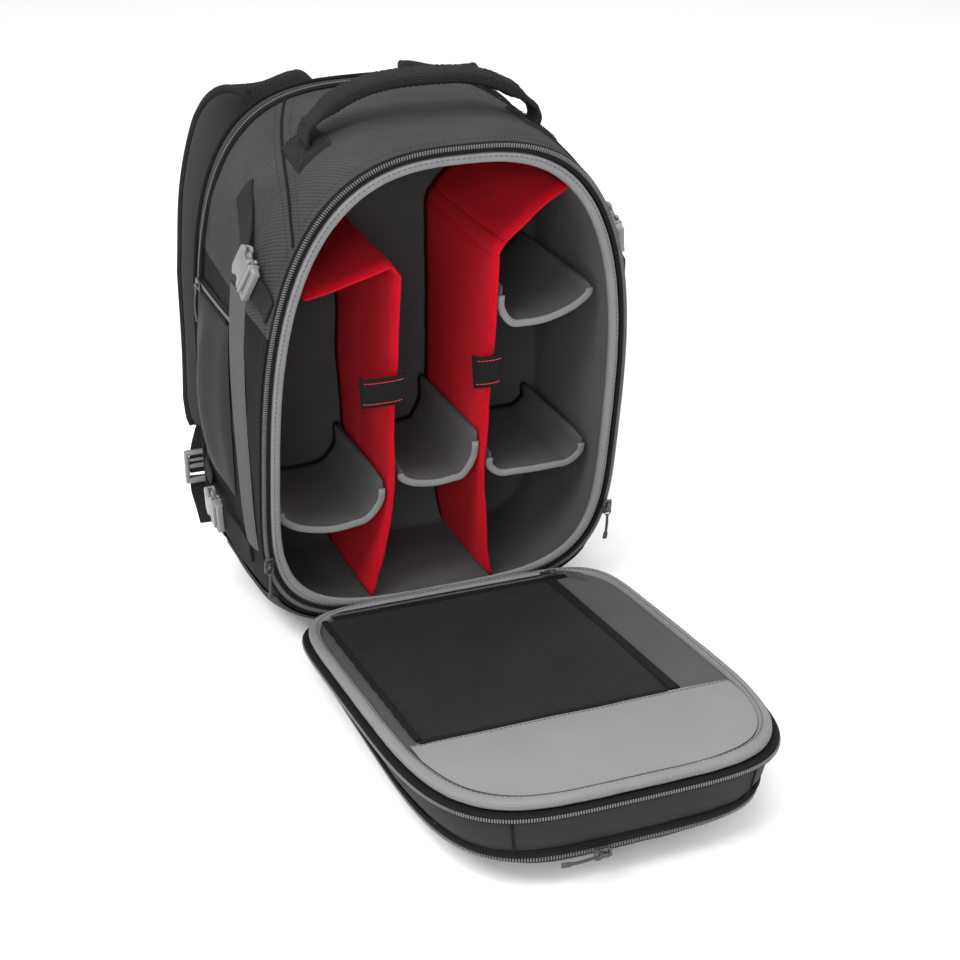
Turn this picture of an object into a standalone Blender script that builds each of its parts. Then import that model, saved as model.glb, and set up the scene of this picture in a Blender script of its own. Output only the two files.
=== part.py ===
"""Front-opening camera backpack, standing upright with its zipped front panel folded down.

Frame: +X to the right seen from the front, +Y towards the wearer's back, +Z up, metres.
The origin is the centre of the base's underside, on the floor.
"""
import math

import bmesh
import bpy
from mathutils import Vector

# ---------------------------------------------------------------- driving dimensions
GAP = 0.0004                 # clearance between touching pieces
RING = 48                    # points round a full outline

# body: sections run from the front opening (depth 0) to the back panel (depth 1)
FRONT_Y = -0.071             # front plane, measured at floor height
BACK_Y = 0.078               # back plane
LEAN = 0.1656                # forward lean of the front plane, metres per metre of height
HALF_W_FRONT = 0.147
HALF_W_BACK = 0.150
SIDE_BULGE = 0.002
WAIST_Z = 0.158              # height where the lower and upper curves meet
TOP_Z = 0.414
FRONT_LOW_Z = 0.018          # underside of the front opening's edge
BASE_DEPTH = 0.25            # depth at which the underside reaches its lowest
POWER_LOW = (3.8, 4.6)       # squareness of the lower corners, front and back
POWER_TOP = (2.8, 3.5)       # squareness of the upper corners, front and back
SHELL_FLOOR = 0.006          # lowest height of the fabric shell

FABRIC = 0.0022
LINER_OUT = -0.0036
LINER_IN = -0.012
BINDING = (-0.0150, -0.0073)
ZIP_TAPE = (-0.0069, -0.0008)
BOOT_THICK = 0.0035
BOOT_FLOOR = 0.0

# front panel (lid): lies on the floor in front, hinged along its far edge
LID_SHIFT = 0.006
HINGE_Y = -0.0825
HINGE_Z = 0.0335
LID_SLOPE = math.radians(6.7)
LID_HALF_W = 0.131
LID_START = 0.002            # gap between the hinge line and the lid's edge
LID_LENGTH = 0.3625
LID_MID = 0.150              # distance from the hinge where the two end curves meet
LID_POWER = (6.5, 4.3)       # squareness of the hinge end and of the free end
LID_PAD = (0.0006, 0.0120)   # padded panel, depths below the inner face
TRAY_TOP = 0.0125

STRAP_W = 0.020              # compression webbing
WEB_T = 0.0018


# ---------------------------------------------------------------- small helpers
def mix(a, b, k):
    return a + (b - a) * k


def power(value, exponent):
    return math.copysign(abs(value) ** exponent, value)


def body_depth(y, z):
    """Section depth (0 front, 1 back) of a point at y and z."""
    return (y - FRONT_Y + z * LEAN) / (BACK_Y - FRONT_Y + z * LEAN)


def body_y(depth, z):
    return FRONT_Y + depth * (BACK_Y - FRONT_Y) - z * (1 - depth) * LEAN


def section(depth, off):
    """Half width, lowest z, top z and squareness of one section, grown by off."""
    d = min(max(depth, 0.0), 1.0)
    low = mix(FRONT_LOW_Z, 0.0, min(1.0, d / BASE_DEPTH) ** 0.6)
    half = mix(HALF_W_FRONT, HALF_W_BACK, d) + SIDE_BULGE * math.sin(math.pi * d)
    return half + off, low - off, TOP_Z + off, mix(*POWER_LOW, d), mix(*POWER_TOP, d)


def body_point(depth, angle, off, floor=None):
    """Point on the body's outline: angle 0 at +X, a quarter turn at the top."""
    half, low, top, n_low, n_top = section(depth, off)
    c, s = math.cos(angle), math.sin(angle)
    n = n_top if s >= 0 else n_low
    x = half * power(c, 2 / n)
    z = WAIST_Z + (top - WAIST_Z if s >= 0 else WAIST_Z - low) * power(s, 2 / n)
    z = max(z, SHELL_FLOOR - off if floor is None else floor)
    return Vector((x, body_y(depth, z), z))


def side_x(y, z, off):
    """Half width of the body's side surface at y and z."""
    half, low, top, n_low, n_top = section(body_depth(y, z), off)
    if z >= WAIST_Z:
        rise, n = (z - WAIST_Z) / (top - WAIST_Z), n_top
    else:
        rise, n = (WAIST_Z - z) / (WAIST_Z - low), n_low
    return half * (1 - min(rise, 1.0) ** n) ** (1 / n)


def top_z(x, y, off):
    """Height of the body's top surface at x and y."""
    z = TOP_Z
    for _ in range(4):
        half, _low, top, _n_low, n_top = section(body_depth(y, z), off)
        z = WAIST_Z + (top - WAIST_Z) * (1 - abs(x / half) ** n_top) ** (1 / n_top)
    return z


def ring_angles(count=RING):
    return [2 * math.pi * i / count for i in range(count)]


def body_ring(depth, off):
    return [body_point(depth, a, off) for a in ring_angles()]


LID_ALONG = Vector((0, -math.cos(LID_SLOPE), math.sin(LID_SLOPE)))
LID_UP = Vector((0, math.sin(LID_SLOPE), math.cos(LID_SLOPE)))


def lid_place(u, v, w):
    """Point on the lid: u across, v from the hinge, w below the inner face."""
    return Vector((u + LID_SHIFT, HINGE_Y, HINGE_Z)) + v * LID_ALONG - w * LID_UP


def lid_uv(angle, off):
    """Lid outline: angle 0 at +X, a quarter turn at the free end."""
    c, s = math.cos(angle), math.sin(angle)
    n = LID_POWER[1] if s >= 0 else LID_POWER[0]
    reach = (LID_LENGTH - LID_MID if s >= 0 else LID_MID - LID_START) + off
    return (LID_HALF_W + off) * power(c, 2 / n), LID_MID + reach * power(s, 2 / n)


def lid_ring(w, off):
    return [lid_place(*lid_uv(a, off), w) for a in ring_angles()]


def tray_point(angle, drop, off, floor=0.0):
    """Point on the pocket wall: drop 0 under the padded panel, 1 on the floor."""
    p = lid_place(*lid_uv(angle, off), TRAY_TOP)
    return Vector((p.x, p.y, mix(p.z, floor, drop)))


# wall profile of the pocket: drop and how far it stands out
TRAY_WALL = ((0.0, 0.0), (0.30, -0.003), (0.55, -0.010), (0.80, -0.022), (1.0, -0.040))


def tray_off(drop):
    for (d0, o0), (d1, o1) in zip(TRAY_WALL, TRAY_WALL[1:]):
        if drop <= d1:
            return mix(o0, o1, (drop - d0) / (d1 - d0))
    return TRAY_WALL[-1][1]


# ---------------------------------------------------------------- solids
def make_material(name, colour, roughness, metallic=0.0):
    material = bpy.data.materials.get(name)
    if material:
        return material
    material = bpy.data.materials.new(name)
    material.use_nodes = True
    shader = material.node_tree.nodes["Principled BSDF"]
    shader.inputs["Base Color"].default_value = (*colour, 1.0)
    shader.inputs["Roughness"].default_value = roughness
    shader.inputs["Metallic"].default_value = metallic
    material.diffuse_color = (*colour, 1.0)
    return material


LOOKS = {
    "ballistic_fabric": ((0.045, 0.045, 0.047), 0.85),
    "smooth_fabric": ((0.060, 0.060, 0.063), 0.70),
    "black_fabric": ((0.012, 0.012, 0.013), 0.85),
    "grey_binding": ((0.26, 0.26, 0.27), 0.75),
    "grey_lining": ((0.20, 0.20, 0.21), 0.85),
    "light_grey_fabric": ((0.30, 0.30, 0.31), 0.70),
    "red_fleece": ((0.55, 0.015, 0.025), 0.95),
    "webbing": ((0.020, 0.020, 0.022), 0.75),
    "grey_plastic": ((0.30, 0.31, 0.32), 0.45),
    "zip_coil": ((0.020, 0.020, 0.020), 0.50),
    "zip_metal": ((0.05, 0.05, 0.055), 0.35, 0.6),
    "mesh_fabric": ((0.010, 0.010, 0.011), 0.80),
}


def finish_object(name, bm, look, pivot=(0, 0, 0)):
    """Turn a bmesh in world coordinates into an object whose origin is pivot."""
    bmesh.ops.remove_doubles(bm, verts=bm.verts, dist=1e-6)
    bmesh.ops.recalc_face_normals(bm, faces=bm.faces)
    bmesh.ops.translate(bm, verts=bm.verts, vec=-Vector(pivot))
    mesh = bpy.data.meshes.new(name)
    bm.to_mesh(mesh)
    bm.free()
    mesh.shade_smooth()
    mesh.set_sharp_from_angle(angle=math.radians(35))
    mesh.materials.append(make_material(look, *LOOKS[look]))
    obj = bpy.data.objects.new(name, mesh)
    obj.location = pivot
    bpy.context.scene.collection.objects.link(obj)
    return obj


def skin(bm, loops, closed=True):
    """Triangles between successive rows of vertices, all split the same way."""
    for a, b in zip(loops, loops[1:]):
        count = len(a)
        for i in range(count if closed else count - 1):
            j = (i + 1) % count
            bm.faces.new((a[i], a[j], b[j]))
            bm.faces.new((a[i], b[j], b[i]))


def add_rows(bm, rows):
    return [[bm.verts.new(p) for p in row] for row in rows]


def ring_solid(name, outer, inner, look, pivot=(0, 0, 0)):
    """Tube wall between outer and inner rows, open at both ends."""
    bm = bmesh.new()
    out_rows, in_rows = add_rows(bm, outer), add_rows(bm, inner)
    skin(bm, out_rows)
    skin(bm, in_rows)
    skin(bm, [out_rows[0], in_rows[0]])
    skin(bm, [out_rows[-1], in_rows[-1]])
    return finish_object(name, bm, look, pivot)


def cup_solid(name, outer, inner, look, pivot=(0, 0, 0)):
    """Wall between outer and inner rows, open at the first rows and floored at the last."""
    bm = bmesh.new()
    out_rows, in_rows = add_rows(bm, outer), add_rows(bm, inner)
    skin(bm, out_rows)
    skin(bm, in_rows)
    skin(bm, [out_rows[0], in_rows[0]])
    bm.faces.new(out_rows[-1])
    bm.faces.new(in_rows[-1])
    return finish_object(name, bm, look, pivot)


def loft_solid(name, rows, look, pivot=(0, 0, 0)):
    """Closed body through rows of points, with flat ends."""
    bm = bmesh.new()
    rows = add_rows(bm, rows)
    skin(bm, rows)
    bm.faces.new(rows[0])
    bm.faces.new(rows[-1])
    return finish_object(name, bm, look, pivot)


def sheet_solid(name, face_a, face_b, look, pivot=(0, 0, 0)):
    """Closed body between two grids of points with the same layout."""
    bm = bmesh.new()
    a, b = add_rows(bm, face_a), add_rows(bm, face_b)
    skin(bm, a, closed=False)
    skin(bm, b, closed=False)
    skin(bm, [a[0], b[0]], closed=False)
    skin(bm, [a[-1], b[-1]], closed=False)
    skin(bm, [[row[0] for row in a], [row[0] for row in b]], closed=False)
    skin(bm, [[row[-1] for row in a], [row[-1] for row in b]], closed=False)
    return finish_object(name, bm, look, pivot)


def block(name, low, high, bevel, look, pivot=(0, 0, 0), axes=None, centre=(0, 0, 0)):
    """Box between two corners with rounded edges, in optional local axes round centre."""
    bm = bmesh.new()
    bmesh.ops.create_cube(bm, size=1.0)
    low, high = Vector(low), Vector(high)
    for vert in bm.verts:
        vert.co = Vector(mix(low[i], high[i], vert.co[i] + 0.5) for i in range(3))
    if bevel:
        bmesh.ops.bevel(bm, geom=bm.edges[:], offset=bevel, segments=2, profile=0.5, affect="EDGES")
    if axes:
        for vert in bm.verts:
            vert.co = Vector(centre) + sum((axes[i] * vert.co[i] for i in range(3)), Vector())
    return finish_object(name, bm, look, pivot)


def sweep(path, widths, half_w, half_t):
    """Rows of a flat strap: path points, width directions, half width and half thickness."""
    rows = []
    for i, point in enumerate(path):
        before, after = path[max(i - 1, 0)], path[min(i + 1, len(path) - 1)]
        along = (after - before).normalized()
        wide = widths[i]
        wide = (wide - along * wide.dot(along)).normalized()
        thick = along.cross(wide)
        w = half_w[i] if isinstance(half_w, (list, tuple)) else half_w
        rows.append([point + wide * w * a + thick * half_t * b
                     for a, b in ((-1, -0.5), (-0.92, -1), (0.92, -1), (1, -0.5),
                                  (1, 0.5), (0.92, 1), (-0.92, 1), (-1, 0.5))])
    return rows


def smooth_path(points, count):
    """Catmull-Rom curve through the route's own points."""
    points = [Vector(p) for p in points]
    padded = [2 * points[0] - points[1]] + points + [2 * points[-1] - points[-2]]
    result = []
    for i in range(count):
        t = i * (len(points) - 1) / (count - 1)
        k = min(int(t), len(points) - 2)
        p0, p1, p2, p3 = padded[k:k + 4]
        f = t - k
        result.append(0.5 * (2 * p1 + (p2 - p0) * f + (2 * p0 - 5 * p1 + 4 * p2 - p3) * f * f
                             + (3 * p1 - p0 - 3 * p2 + p3) * f ** 3))
    return result


# ---------------------------------------------------------------- body
SHELL_DEPTHS = (0.018, 0.036, 0.10, 0.25, 0.60, 1.0)


def make_shell():
    outer = [body_ring(d, 0.0) for d in SHELL_DEPTHS]
    inner = [body_ring(d, -FABRIC) for d in SHELL_DEPTHS]
    ring_solid("outer_shell", outer, inner, "ballistic_fabric")


def make_liner():
    depths = (0.036, 0.10, 0.25, 0.60, 0.952)
    outer = [body_ring(d, LINER_OUT) for d in depths]
    inner = [body_ring(d, LINER_IN) for d in depths[:-1]] + [body_ring(0.90, LINER_IN)]
    cup_solid("padded_liner", outer, inner, "grey_lining")


def make_rim():
    for name, (inside, outside), depths, look in (
            ("rim_binding", BINDING, (-0.012, 0.0, 0.014, 0.032), "grey_binding"),
            ("rim_zip_track", ZIP_TAPE, (-0.008, 0.0, 0.014), "zip_coil")):
        ring_solid(name, [body_ring(d, outside) for d in depths],
                   [body_ring(d, inside) for d in depths], look)


def make_boot():
    """Smooth fabric boot wrapped round the underside."""
    depths = SHELL_DEPTHS[1:-1] + (0.985,)
    angles = [a for a in ring_angles() if 1.20 * math.pi < a < 1.80 * math.pi]
    inner = [[body_point(d, a, 2 * GAP) for a in angles] for d in depths]
    outer = [[body_point(d, a, BOOT_THICK, BOOT_FLOOR) for a in angles] for d in depths]
    sheet_solid("base_boot", inner, outer, "smooth_fabric")


def make_back():
    loft_solid("back_panel", [body_ring(0.957, LINER_OUT), body_ring(0.996, LINER_OUT)],
               "black_fabric")
    pad_y = (BACK_Y + 0.0008, BACK_Y + 0.018)
    for side, label in ((-1, "left"), (1, "right")):
        x = sorted((side * 0.014, side * 0.108))
        block("back_pad_" + label, (x[0], pad_y[0], 0.135), (x[1], pad_y[1], 0.360), 0.008,
              "black_fabric")
    block("lumbar_pad", (-0.162, pad_y[0], 0.024), (0.162, BACK_Y + 0.024, 0.108), 0.010,
          "black_fabric")


# ---------------------------------------------------------------- dividers
DIVIDER_T = 0.006
CELL_BACK = 0.056            # deepest y that the dividers reach
CELL_FRONT = 0.020           # how far the dividers stand back from the opening


def divider_grid(route, half_t, normal_sign=1, front=CELL_FRONT, back=CELL_BACK):
    """Two faces of an upright or level panel whose edge follows route in x and z."""
    faces = []
    for sign in (-1, 1):
        rows = []
        for i, (x, z) in enumerate(route):
            x0, z0 = route[max(i - 1, 0)]
            x1, z1 = route[min(i + 1, len(route) - 1)]
            length = math.hypot(x1 - x0, z1 - z0)
            nx, nz = (z1 - z0) / length, -(x1 - x0) / length
            px, pz = x + sign * half_t * nx * normal_sign, z + sign * half_t * nz * normal_sign
            y0 = body_y(0, pz) + front
            rows.append([Vector((px, mix(y0, back, k), pz)) for k in (0, 0.5, 1)])
        faces.append(rows)
    return faces


LEFT_DIVIDER = ((-0.046, 0.040), (-0.040, 0.070), (-0.035, 0.120), (-0.037, 0.185),
                (-0.036, 0.250), (-0.036, 0.310))
RIGHT_DIVIDER = ((0.050, 0.040), (0.046, 0.075), (0.041, 0.125), (0.041, 0.190),
                 (0.042, 0.255), (0.041, 0.316))
LEFT_FOLD = (-0.038, 0.3165)
RIGHT_FOLD = (0.044, 0.3225)
LEFT_FLAP = ((-0.041, 0.3165), (-0.060, 0.311), (-0.085, 0.303), (-0.108, 0.298))
RIGHT_FLAP = ((0.046, 0.3245), (0.060, 0.338), (0.077, 0.354), (0.094, 0.365))


def make_dividers():
    for label, upright, fold, flap in (("left", LEFT_DIVIDER, LEFT_FOLD, LEFT_FLAP),
                                       ("right", RIGHT_DIVIDER, RIGHT_FOLD, RIGHT_FLAP)):
        sheet_solid("divider_" + label, *divider_grid(upright, DIVIDER_T / 2), "red_fleece")
        pivot = (fold[0], -0.020, fold[1])
        sheet_solid("divider_flap_" + label, *divider_grid(flap, DIVIDER_T / 2, front=0.024),
                    "red_fleece", pivot)


SHELF_T = 0.005


def make_shelf(name, left, right, sag, tab_left, tab_right):
    """Padded shelf with turned-up end tabs: left and right are (x, z) of its ends."""
    route = []
    if tab_left:
        route += [(left[0], left[1] + tab_left), (left[0], left[1] + tab_left * 0.4)]
    steps = 5
    for i in range(steps):
        k = i / (steps - 1)
        inset = 0.004 * (1 - 2 * k)
        route.append((mix(left[0], right[0], k) + inset,
                      mix(left[1], right[1], k) - sag * 4 * k * (1 - k)))
    if tab_right:
        route += [(right[0], right[1] + tab_right * 0.4), (right[0], right[1] + tab_right)]
    sheet_solid(name, *divider_grid(route, SHELF_T / 2, front=0.026), "grey_lining")


def make_shelves():
    make_shelf("shelf_left", (-0.1240, 0.1040), (-0.0430, 0.1000), 0.010, 0.014, 0.030)
    make_shelf("shelf_centre", (-0.0265, 0.1260), (0.0340, 0.1260), 0.006, 0.010, 0.036)
    make_shelf("shelf_right_lower", (0.0480, 0.1200), (0.1270, 0.1200), 0.002, 0.020, 0.020)
    make_shelf("shelf_right_upper", (0.0480, 0.2580), (0.1200, 0.2680), 0.008, 0.030, 0.012)


def make_loops():
    """Woven pull loops wrapped over the dividers' front edges."""
    for label, x0, x1, z0, z1 in (("left", -0.066, -0.032, 0.205, 0.230),
                                  ("right", 0.024, 0.047, 0.208, 0.236)):
        rows = []
        for z in (z0, z1):
            y = body_y(0, z) + CELL_FRONT - 0.0045
            rows.append([Vector((x0, y - 0.0035, z)), Vector((x1, y - 0.0035, z)),
                         Vector((x1, y, z)), Vector((x0, y, z))])
        loft_solid("divider_loop_" + label, rows, "webbing")


# ---------------------------------------------------------------- top handle
HANDLE_X = 0.088
HANDLE_Y = -0.050
HANDLE_TOP = 0.442
HANDLE_RISE = 0.0160         # clear height of the grip's ends over the top fabric


def patch(name, xs, ys, offs, look):
    """Flat patch lying on the top surface."""
    faces = [[[Vector((x, y, top_z(x, y, off))) for y in ys] for x in xs] for off in offs]
    sheet_solid(name, *faces, look)


def make_handle():
    pivot_z = top_z(HANDLE_X, HANDLE_Y, 0) + HANDLE_RISE
    for side, label in ((-1, "left"), (1, "right")):
        xs = sorted(side * (HANDLE_X + dx) for dx in (-0.013, 0.0, 0.013))
        patch("handle_anchor_" + label, xs, (-0.072, -0.050, -0.028), (0.0008, 0.0026),
              "webbing")
    steps = 16
    path = []
    for i in range(steps + 1):
        k = -1 + 2 * i / steps
        x = HANDLE_X * power(k, 0.9)
        path.append(Vector((x, HANDLE_Y, mix(HANDLE_TOP, pivot_z, abs(k) ** 2.6))))
    rows = sweep(path, [Vector((0, 1, 0))] * len(path), 0.0125, 0.0055)
    loft_solid("handle_grip", rows, "webbing", (0, HANDLE_Y, pivot_z))


# ---------------------------------------------------------------- shoulder straps
STRAP_ROUTE = ((0.058, 0.0900, 0.384), (0.062, 0.1020, 0.398), (0.073, 0.1220, 0.399),
               (0.090, 0.1390, 0.372), (0.105, 0.1460, 0.315), (0.112, 0.1460, 0.245),
               (0.120, 0.1410, 0.170), (0.131, 0.1340, 0.108))
STRAP_HALF_T = 0.006
LOCK_Z = 0.074


def make_shoulder_straps():
    for side, label in ((-1, "left"), (1, "right")):
        path = smooth_path([(side * x, y, z) for x, y, z in STRAP_ROUTE], 19)
        half_w = [0.034 - 0.012 * max(0.0, (i - 13) / 5) for i in range(19)]
        wide = [Vector((1, side * 0.25 * min(1.0, i / 6), 0)) for i in range(len(path))]
        loft_solid("shoulder_strap_" + label, sweep(path, wide, half_w, STRAP_HALF_T),
                   "black_fabric", (side * STRAP_ROUTE[0][0], 0.086, 0.388))
        end = path[-1]
        lock = Vector((end.x + side * 0.010, end.y - 0.003, LOCK_Z))
        block("ladder_lock_" + label, lock - Vector((0.016, 0.004, 0.015)),
              lock + Vector((0.016, 0.004, 0.015)), 0.0015, "grey_plastic")
        route = smooth_path([lock - Vector((0, 0, 0.0220)),
                             lock + Vector((side * 0.001, -0.004, -0.027)),
                             (side * 0.142, 0.1125, 0.0340)], 6)
        rows = sweep(route, [Vector((1, 0, 0))] * len(route), 0.0125, WEB_T / 2)
        loft_solid("lower_webbing_" + label, rows, "webbing")


# ---------------------------------------------------------------- side pockets and straps
POCKET_Y = (-0.030, 0.060)
POCKET_Z = (0.118, 0.262)
POCKET_OUT = 0.012


def side_sheet(name, side, ys, zs, low_off, high_off, look, pivot=(0, 0, 0)):
    """Panel lying on a side of the body; high_off is a function of two 0..1 positions."""
    lower, upper = [], []
    for i, z in enumerate(zs):
        a, b = [], []
        for j, y in enumerate(ys):
            high = high_off(j / (len(ys) - 1), i / (len(zs) - 1))
            a.append(Vector((side * side_x(y, z, low_off), y, z)))
            b.append(Vector((side * side_x(y, z, high), y, z)))
        lower.append(a)
        upper.append(b)
    return sheet_solid(name, lower, upper, look, pivot)


def spread(a, b, count):
    return [mix(a, b, i / (count - 1)) for i in range(count)]


def pocket_bulge(across, up):
    return 0.0030 + POCKET_OUT * math.sin(math.pi * across) * math.sin(math.pi * up) ** 0.6


def make_side_pockets():
    for side, label in ((-1, "left"), (1, "right")):
        side_sheet("side_pocket_" + label, side, spread(*POCKET_Y, 6), spread(*POCKET_Z, 8),
                   0.0008, pocket_bulge, "black_fabric")
        y, z = 0.052, 0.2665
        x = side * side_x(y, z, 0.0034)
        xs = sorted((x, x + side * 0.0035))
        block("side_zip_slider_" + label, (xs[0], y - 0.006, z - 0.004),
              (xs[1], y + 0.006, z + 0.004), 0.0008, "zip_metal", (x, y, z))


# each strap: rear end, buckle centre and front end, as (y, z) on the side of the body
SIDE_STRAPS = {"upper": ((-0.012, 0.360), (-0.082, 0.315), (-0.114, 0.2985)),
               "lower": ((0.066, 0.103), (0.006, 0.091), (-0.056, 0.081))}
BUCKLE_L, BUCKLE_W, BUCKLE_T = 0.030, 0.027, 0.0085
TONGUE = 0.014
STRAP_LIFT = 0.0008


def strap_frame(side, centre, towards):
    """Local axes on the side of the body: along the strap, across it and outwards."""
    y, z = centre
    lift = STRAP_LIFT
    here = Vector((side * side_x(y, z, lift), y, z))
    dy, dz = towards[0] - y, towards[1] - z
    length = math.hypot(dy, dz)
    step = 0.02
    ahead_y, ahead_z = y + dy / length * step, z + dz / length * step
    back_y, back_z = y - dy / length * step, z - dz / length * step
    ahead = Vector((side * side_x(ahead_y, ahead_z, lift), ahead_y, ahead_z))
    back = Vector((side * side_x(back_y, back_z, lift), back_y, back_z))
    along = (ahead - back).normalized()
    y2, z2 = y, z + step
    above = Vector((side * side_x(y2, z2, lift), y2, z2))
    below = Vector((side * side_x(y, z - step, lift), y, z - step))
    up = (above - below).normalized()
    out = along.cross(up).normalized()
    if out.x * side < 0:
        out = -out
    across = out.cross(along).normalized()
    return here, along, across, out


def buckle_female(name, here, along, across, out, lift):
    """Sleeve with a slot that faces along: outer box and a pocket of smaller section."""
    axes = (along, across, out)
    base = here + out * (lift + BUCKLE_T / 2)

    def loop(at, half_w, half_t):
        return [base + axes[0] * at + axes[1] * half_w * a + axes[2] * half_t * b
                for a, b in ((-1, -1), (1, -1), (1, 1), (-1, 1))]

    w, t = BUCKLE_W / 2, BUCKLE_T / 2
    outer = [loop(-0.0003, w, t), loop(-BUCKLE_L * 0.62, w, t), loop(-BUCKLE_L * 0.75, w * 0.9, t * 0.7)]
    inner = [loop(-0.0003, w - 0.0028, t - 0.0018), loop(-TONGUE - 0.0015, w - 0.0028, t - 0.0018)]
    bm = bmesh.new()
    out_rows, in_rows = add_rows(bm, outer), add_rows(bm, inner)
    skin(bm, out_rows)
    skin(bm, in_rows)
    skin(bm, [out_rows[0], in_rows[0]])
    bm.faces.new(out_rows[-1])
    bm.faces.new(in_rows[-1])
    finish_object(name, bm, "grey_plastic")


def buckle_male(name, here, along, across, out, lift):
    """Bar with a tongue that sits in the sleeve."""
    base = here + out * (lift + BUCKLE_T / 2)

    def loop(at, half_w, half_t):
        return [base + along * at + across * half_w * a + out * half_t * b
                for a, b in ((-1, -1), (1, -1), (1, 1), (-1, 1))]

    w, t = BUCKLE_W / 2, BUCKLE_T / 2
    rows = [loop(-TONGUE, w - 0.0045, t - 0.0024), loop(0.0, w - 0.0034, t - 0.0022),
            loop(0.0006, w, t), loop(BUCKLE_L * 0.38, w, t), loop(BUCKLE_L * 0.42, w * 0.9, t * 0.7)]
    loft_solid(name, rows, "grey_plastic", base)


def side_strap_band(name, side, start, stop, lift, look):
    """Flat webbing lying on the side of the body from start to stop, both (y, z)."""
    steps = max(2, int(math.dist(start, stop) / 0.015))
    dy, dz = stop[0] - start[0], stop[1] - start[1]
    length = math.hypot(dy, dz)
    cy, cz = -dz / length * STRAP_W / 2, dy / length * STRAP_W / 2
    lower, upper = [], []
    for i in range(steps + 1):
        k = i / steps
        y, z = mix(start[0], stop[0], k), mix(start[1], stop[1], k)
        a, b = [], []
        for s in (-1, 0, 1):
            yy, zz = y + s * cy, z + s * cz
            a.append(Vector((side * side_x(yy, zz, lift), yy, zz)))
            b.append(Vector((side * side_x(yy, zz, lift + WEB_T), yy, zz)))
        lower.append(a)
        upper.append(b)
    sheet_solid(name, lower, upper, look)


def make_side_straps():
    for height, (rear, centre, front) in SIDE_STRAPS.items():
        lift = 0.0045
        for side, label in ((-1, "left"), (1, "right")):
            tag = height + "_" + label
            here, along, across, out = strap_frame(side, centre, front)
            buckle_female("buckle_female_" + tag, here, along, across, out, lift)
            buckle_male("buckle_male_" + tag, here, along, across, out, lift)
            dy, dz = rear[0] - centre[0], rear[1] - centre[1]
            length = math.hypot(dy, dz)
            near = BUCKLE_L * 0.75 + 0.0015
            start = (centre[0] + dy / length * near, centre[1] + dz / length * near)
            side_strap_band("strap_rear_" + tag, side, rear, start, 0.0010, "webbing")


# ---------------------------------------------------------------- zips on the body
LAPTOP_DEPTH = (0.872, 0.900)


def make_laptop_zip():
    """Rear compartment zip over the top of the body, and its slider."""
    steps = 30
    angles = [mix(math.radians(16), math.radians(164), i / steps) for i in range(steps + 1)]
    faces = [[[body_point(d, a, off) for a in angles] for d in LAPTOP_DEPTH]
             for off in (0.0008, 0.0026)]
    sheet_solid("laptop_zip_track", *faces, "zip_coil")
    x = 0.072
    y = body_y(sum(LAPTOP_DEPTH) / 2, TOP_Z)
    z = top_z(x, y, 0.0050)
    tilt = (top_z(x + 0.01, y, 0) - top_z(x - 0.01, y, 0)) / 0.02
    along = Vector((1, 0, tilt)).normalized()
    axes = (along, Vector((0, 1, 0)), along.cross(Vector((0, 1, 0))))
    block("laptop_zip_slider", (-0.007, -0.0045, 0), (0.007, 0.0045, 0.004), 0.0008,
          "zip_metal", (x, y, z), axes, (x, y, z))


MAIN_SLIDER_Z = 0.085
FRONT_OUT = Vector((0, -1, -LEAN)).normalized()
FRONT_UP = Vector((0, -LEAN, 1)).normalized()


def make_main_sliders():
    """The two sliders of the main opening, parked low on its sides."""
    for side, label in ((-1, "left"), (1, "right")):
        y = body_y(-0.026, MAIN_SLIDER_Z)
        p = Vector((side * (side_x(y, MAIN_SLIDER_Z, 0) - 0.0015), y, MAIN_SLIDER_Z))
        axes = (FRONT_UP, Vector((side, 0, 0)), FRONT_OUT)
        block("main_slider_" + label, (-0.007, -0.0040, 0), (0.007, 0.0040, 0.004), 0.0008,
              "zip_metal", p, axes, p)


# ---------------------------------------------------------------- lid
def make_lid():
    inset = -0.0084
    loft_solid("lid_panel", [lid_ring(LID_PAD[0], inset), lid_ring(LID_PAD[1], inset)],
               "grey_lining", (LID_SHIFT, HINGE_Y, HINGE_Z))
    ring_solid("lid_binding", [lid_ring(-0.002, 0), lid_ring(0.006, 0)],
               [lid_ring(-0.002, -0.008), lid_ring(0.006, -0.008)], "grey_binding",
               (LID_SHIFT, HINGE_Y, HINGE_Z))
    ring_solid("lid_zip_track", [lid_ring(0.0064, 0.0045), lid_ring(0.0121, 0.0045)],
               [lid_ring(0.0064, -0.0060), lid_ring(0.0121, -0.0060)], "zip_coil",
               (LID_SHIFT, HINGE_Y, HINGE_Z))


def make_tray():
    """Front pocket under the padded panel: a soft tray that stands on the floor."""
    wall = 0.0024
    outer = [[tray_point(a, drop, off) for a in ring_angles()] for drop, off in TRAY_WALL]
    inner = [[tray_point(a, drop, off - wall, wall) for a in ring_angles()]
             for drop, off in TRAY_WALL]
    cup_solid("lid_pocket_shell", outer, inner, "smooth_fabric", (LID_SHIFT, HINGE_Y, HINGE_Z))
    drops, steps = (0.50, 0.62), 26
    angles = [mix(math.radians(-8), math.radians(188), i / steps) for i in range(steps + 1)]
    faces = [[[tray_point(a, drop, tray_off(drop) + off) for a in angles] for drop in drops]
             for off in (0.0016, 0.0034)]
    sheet_solid("front_zip_track", *faces, "zip_coil", (LID_SHIFT, HINGE_Y, HINGE_Z))
    angle, drop = math.radians(92), 0.56
    p = tray_point(angle, drop, tray_off(drop) + 0.0056)
    block("front_zip_slider", p - Vector((0.007, 0.004, 0.004)), p + Vector((0.007, 0, 0.004)),
          0.0008, "zip_metal", p)


MESH_U = (-0.112, 0.078)
MESH_V = (0.028, 0.252)
MESH_RISE = 0.009


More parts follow.
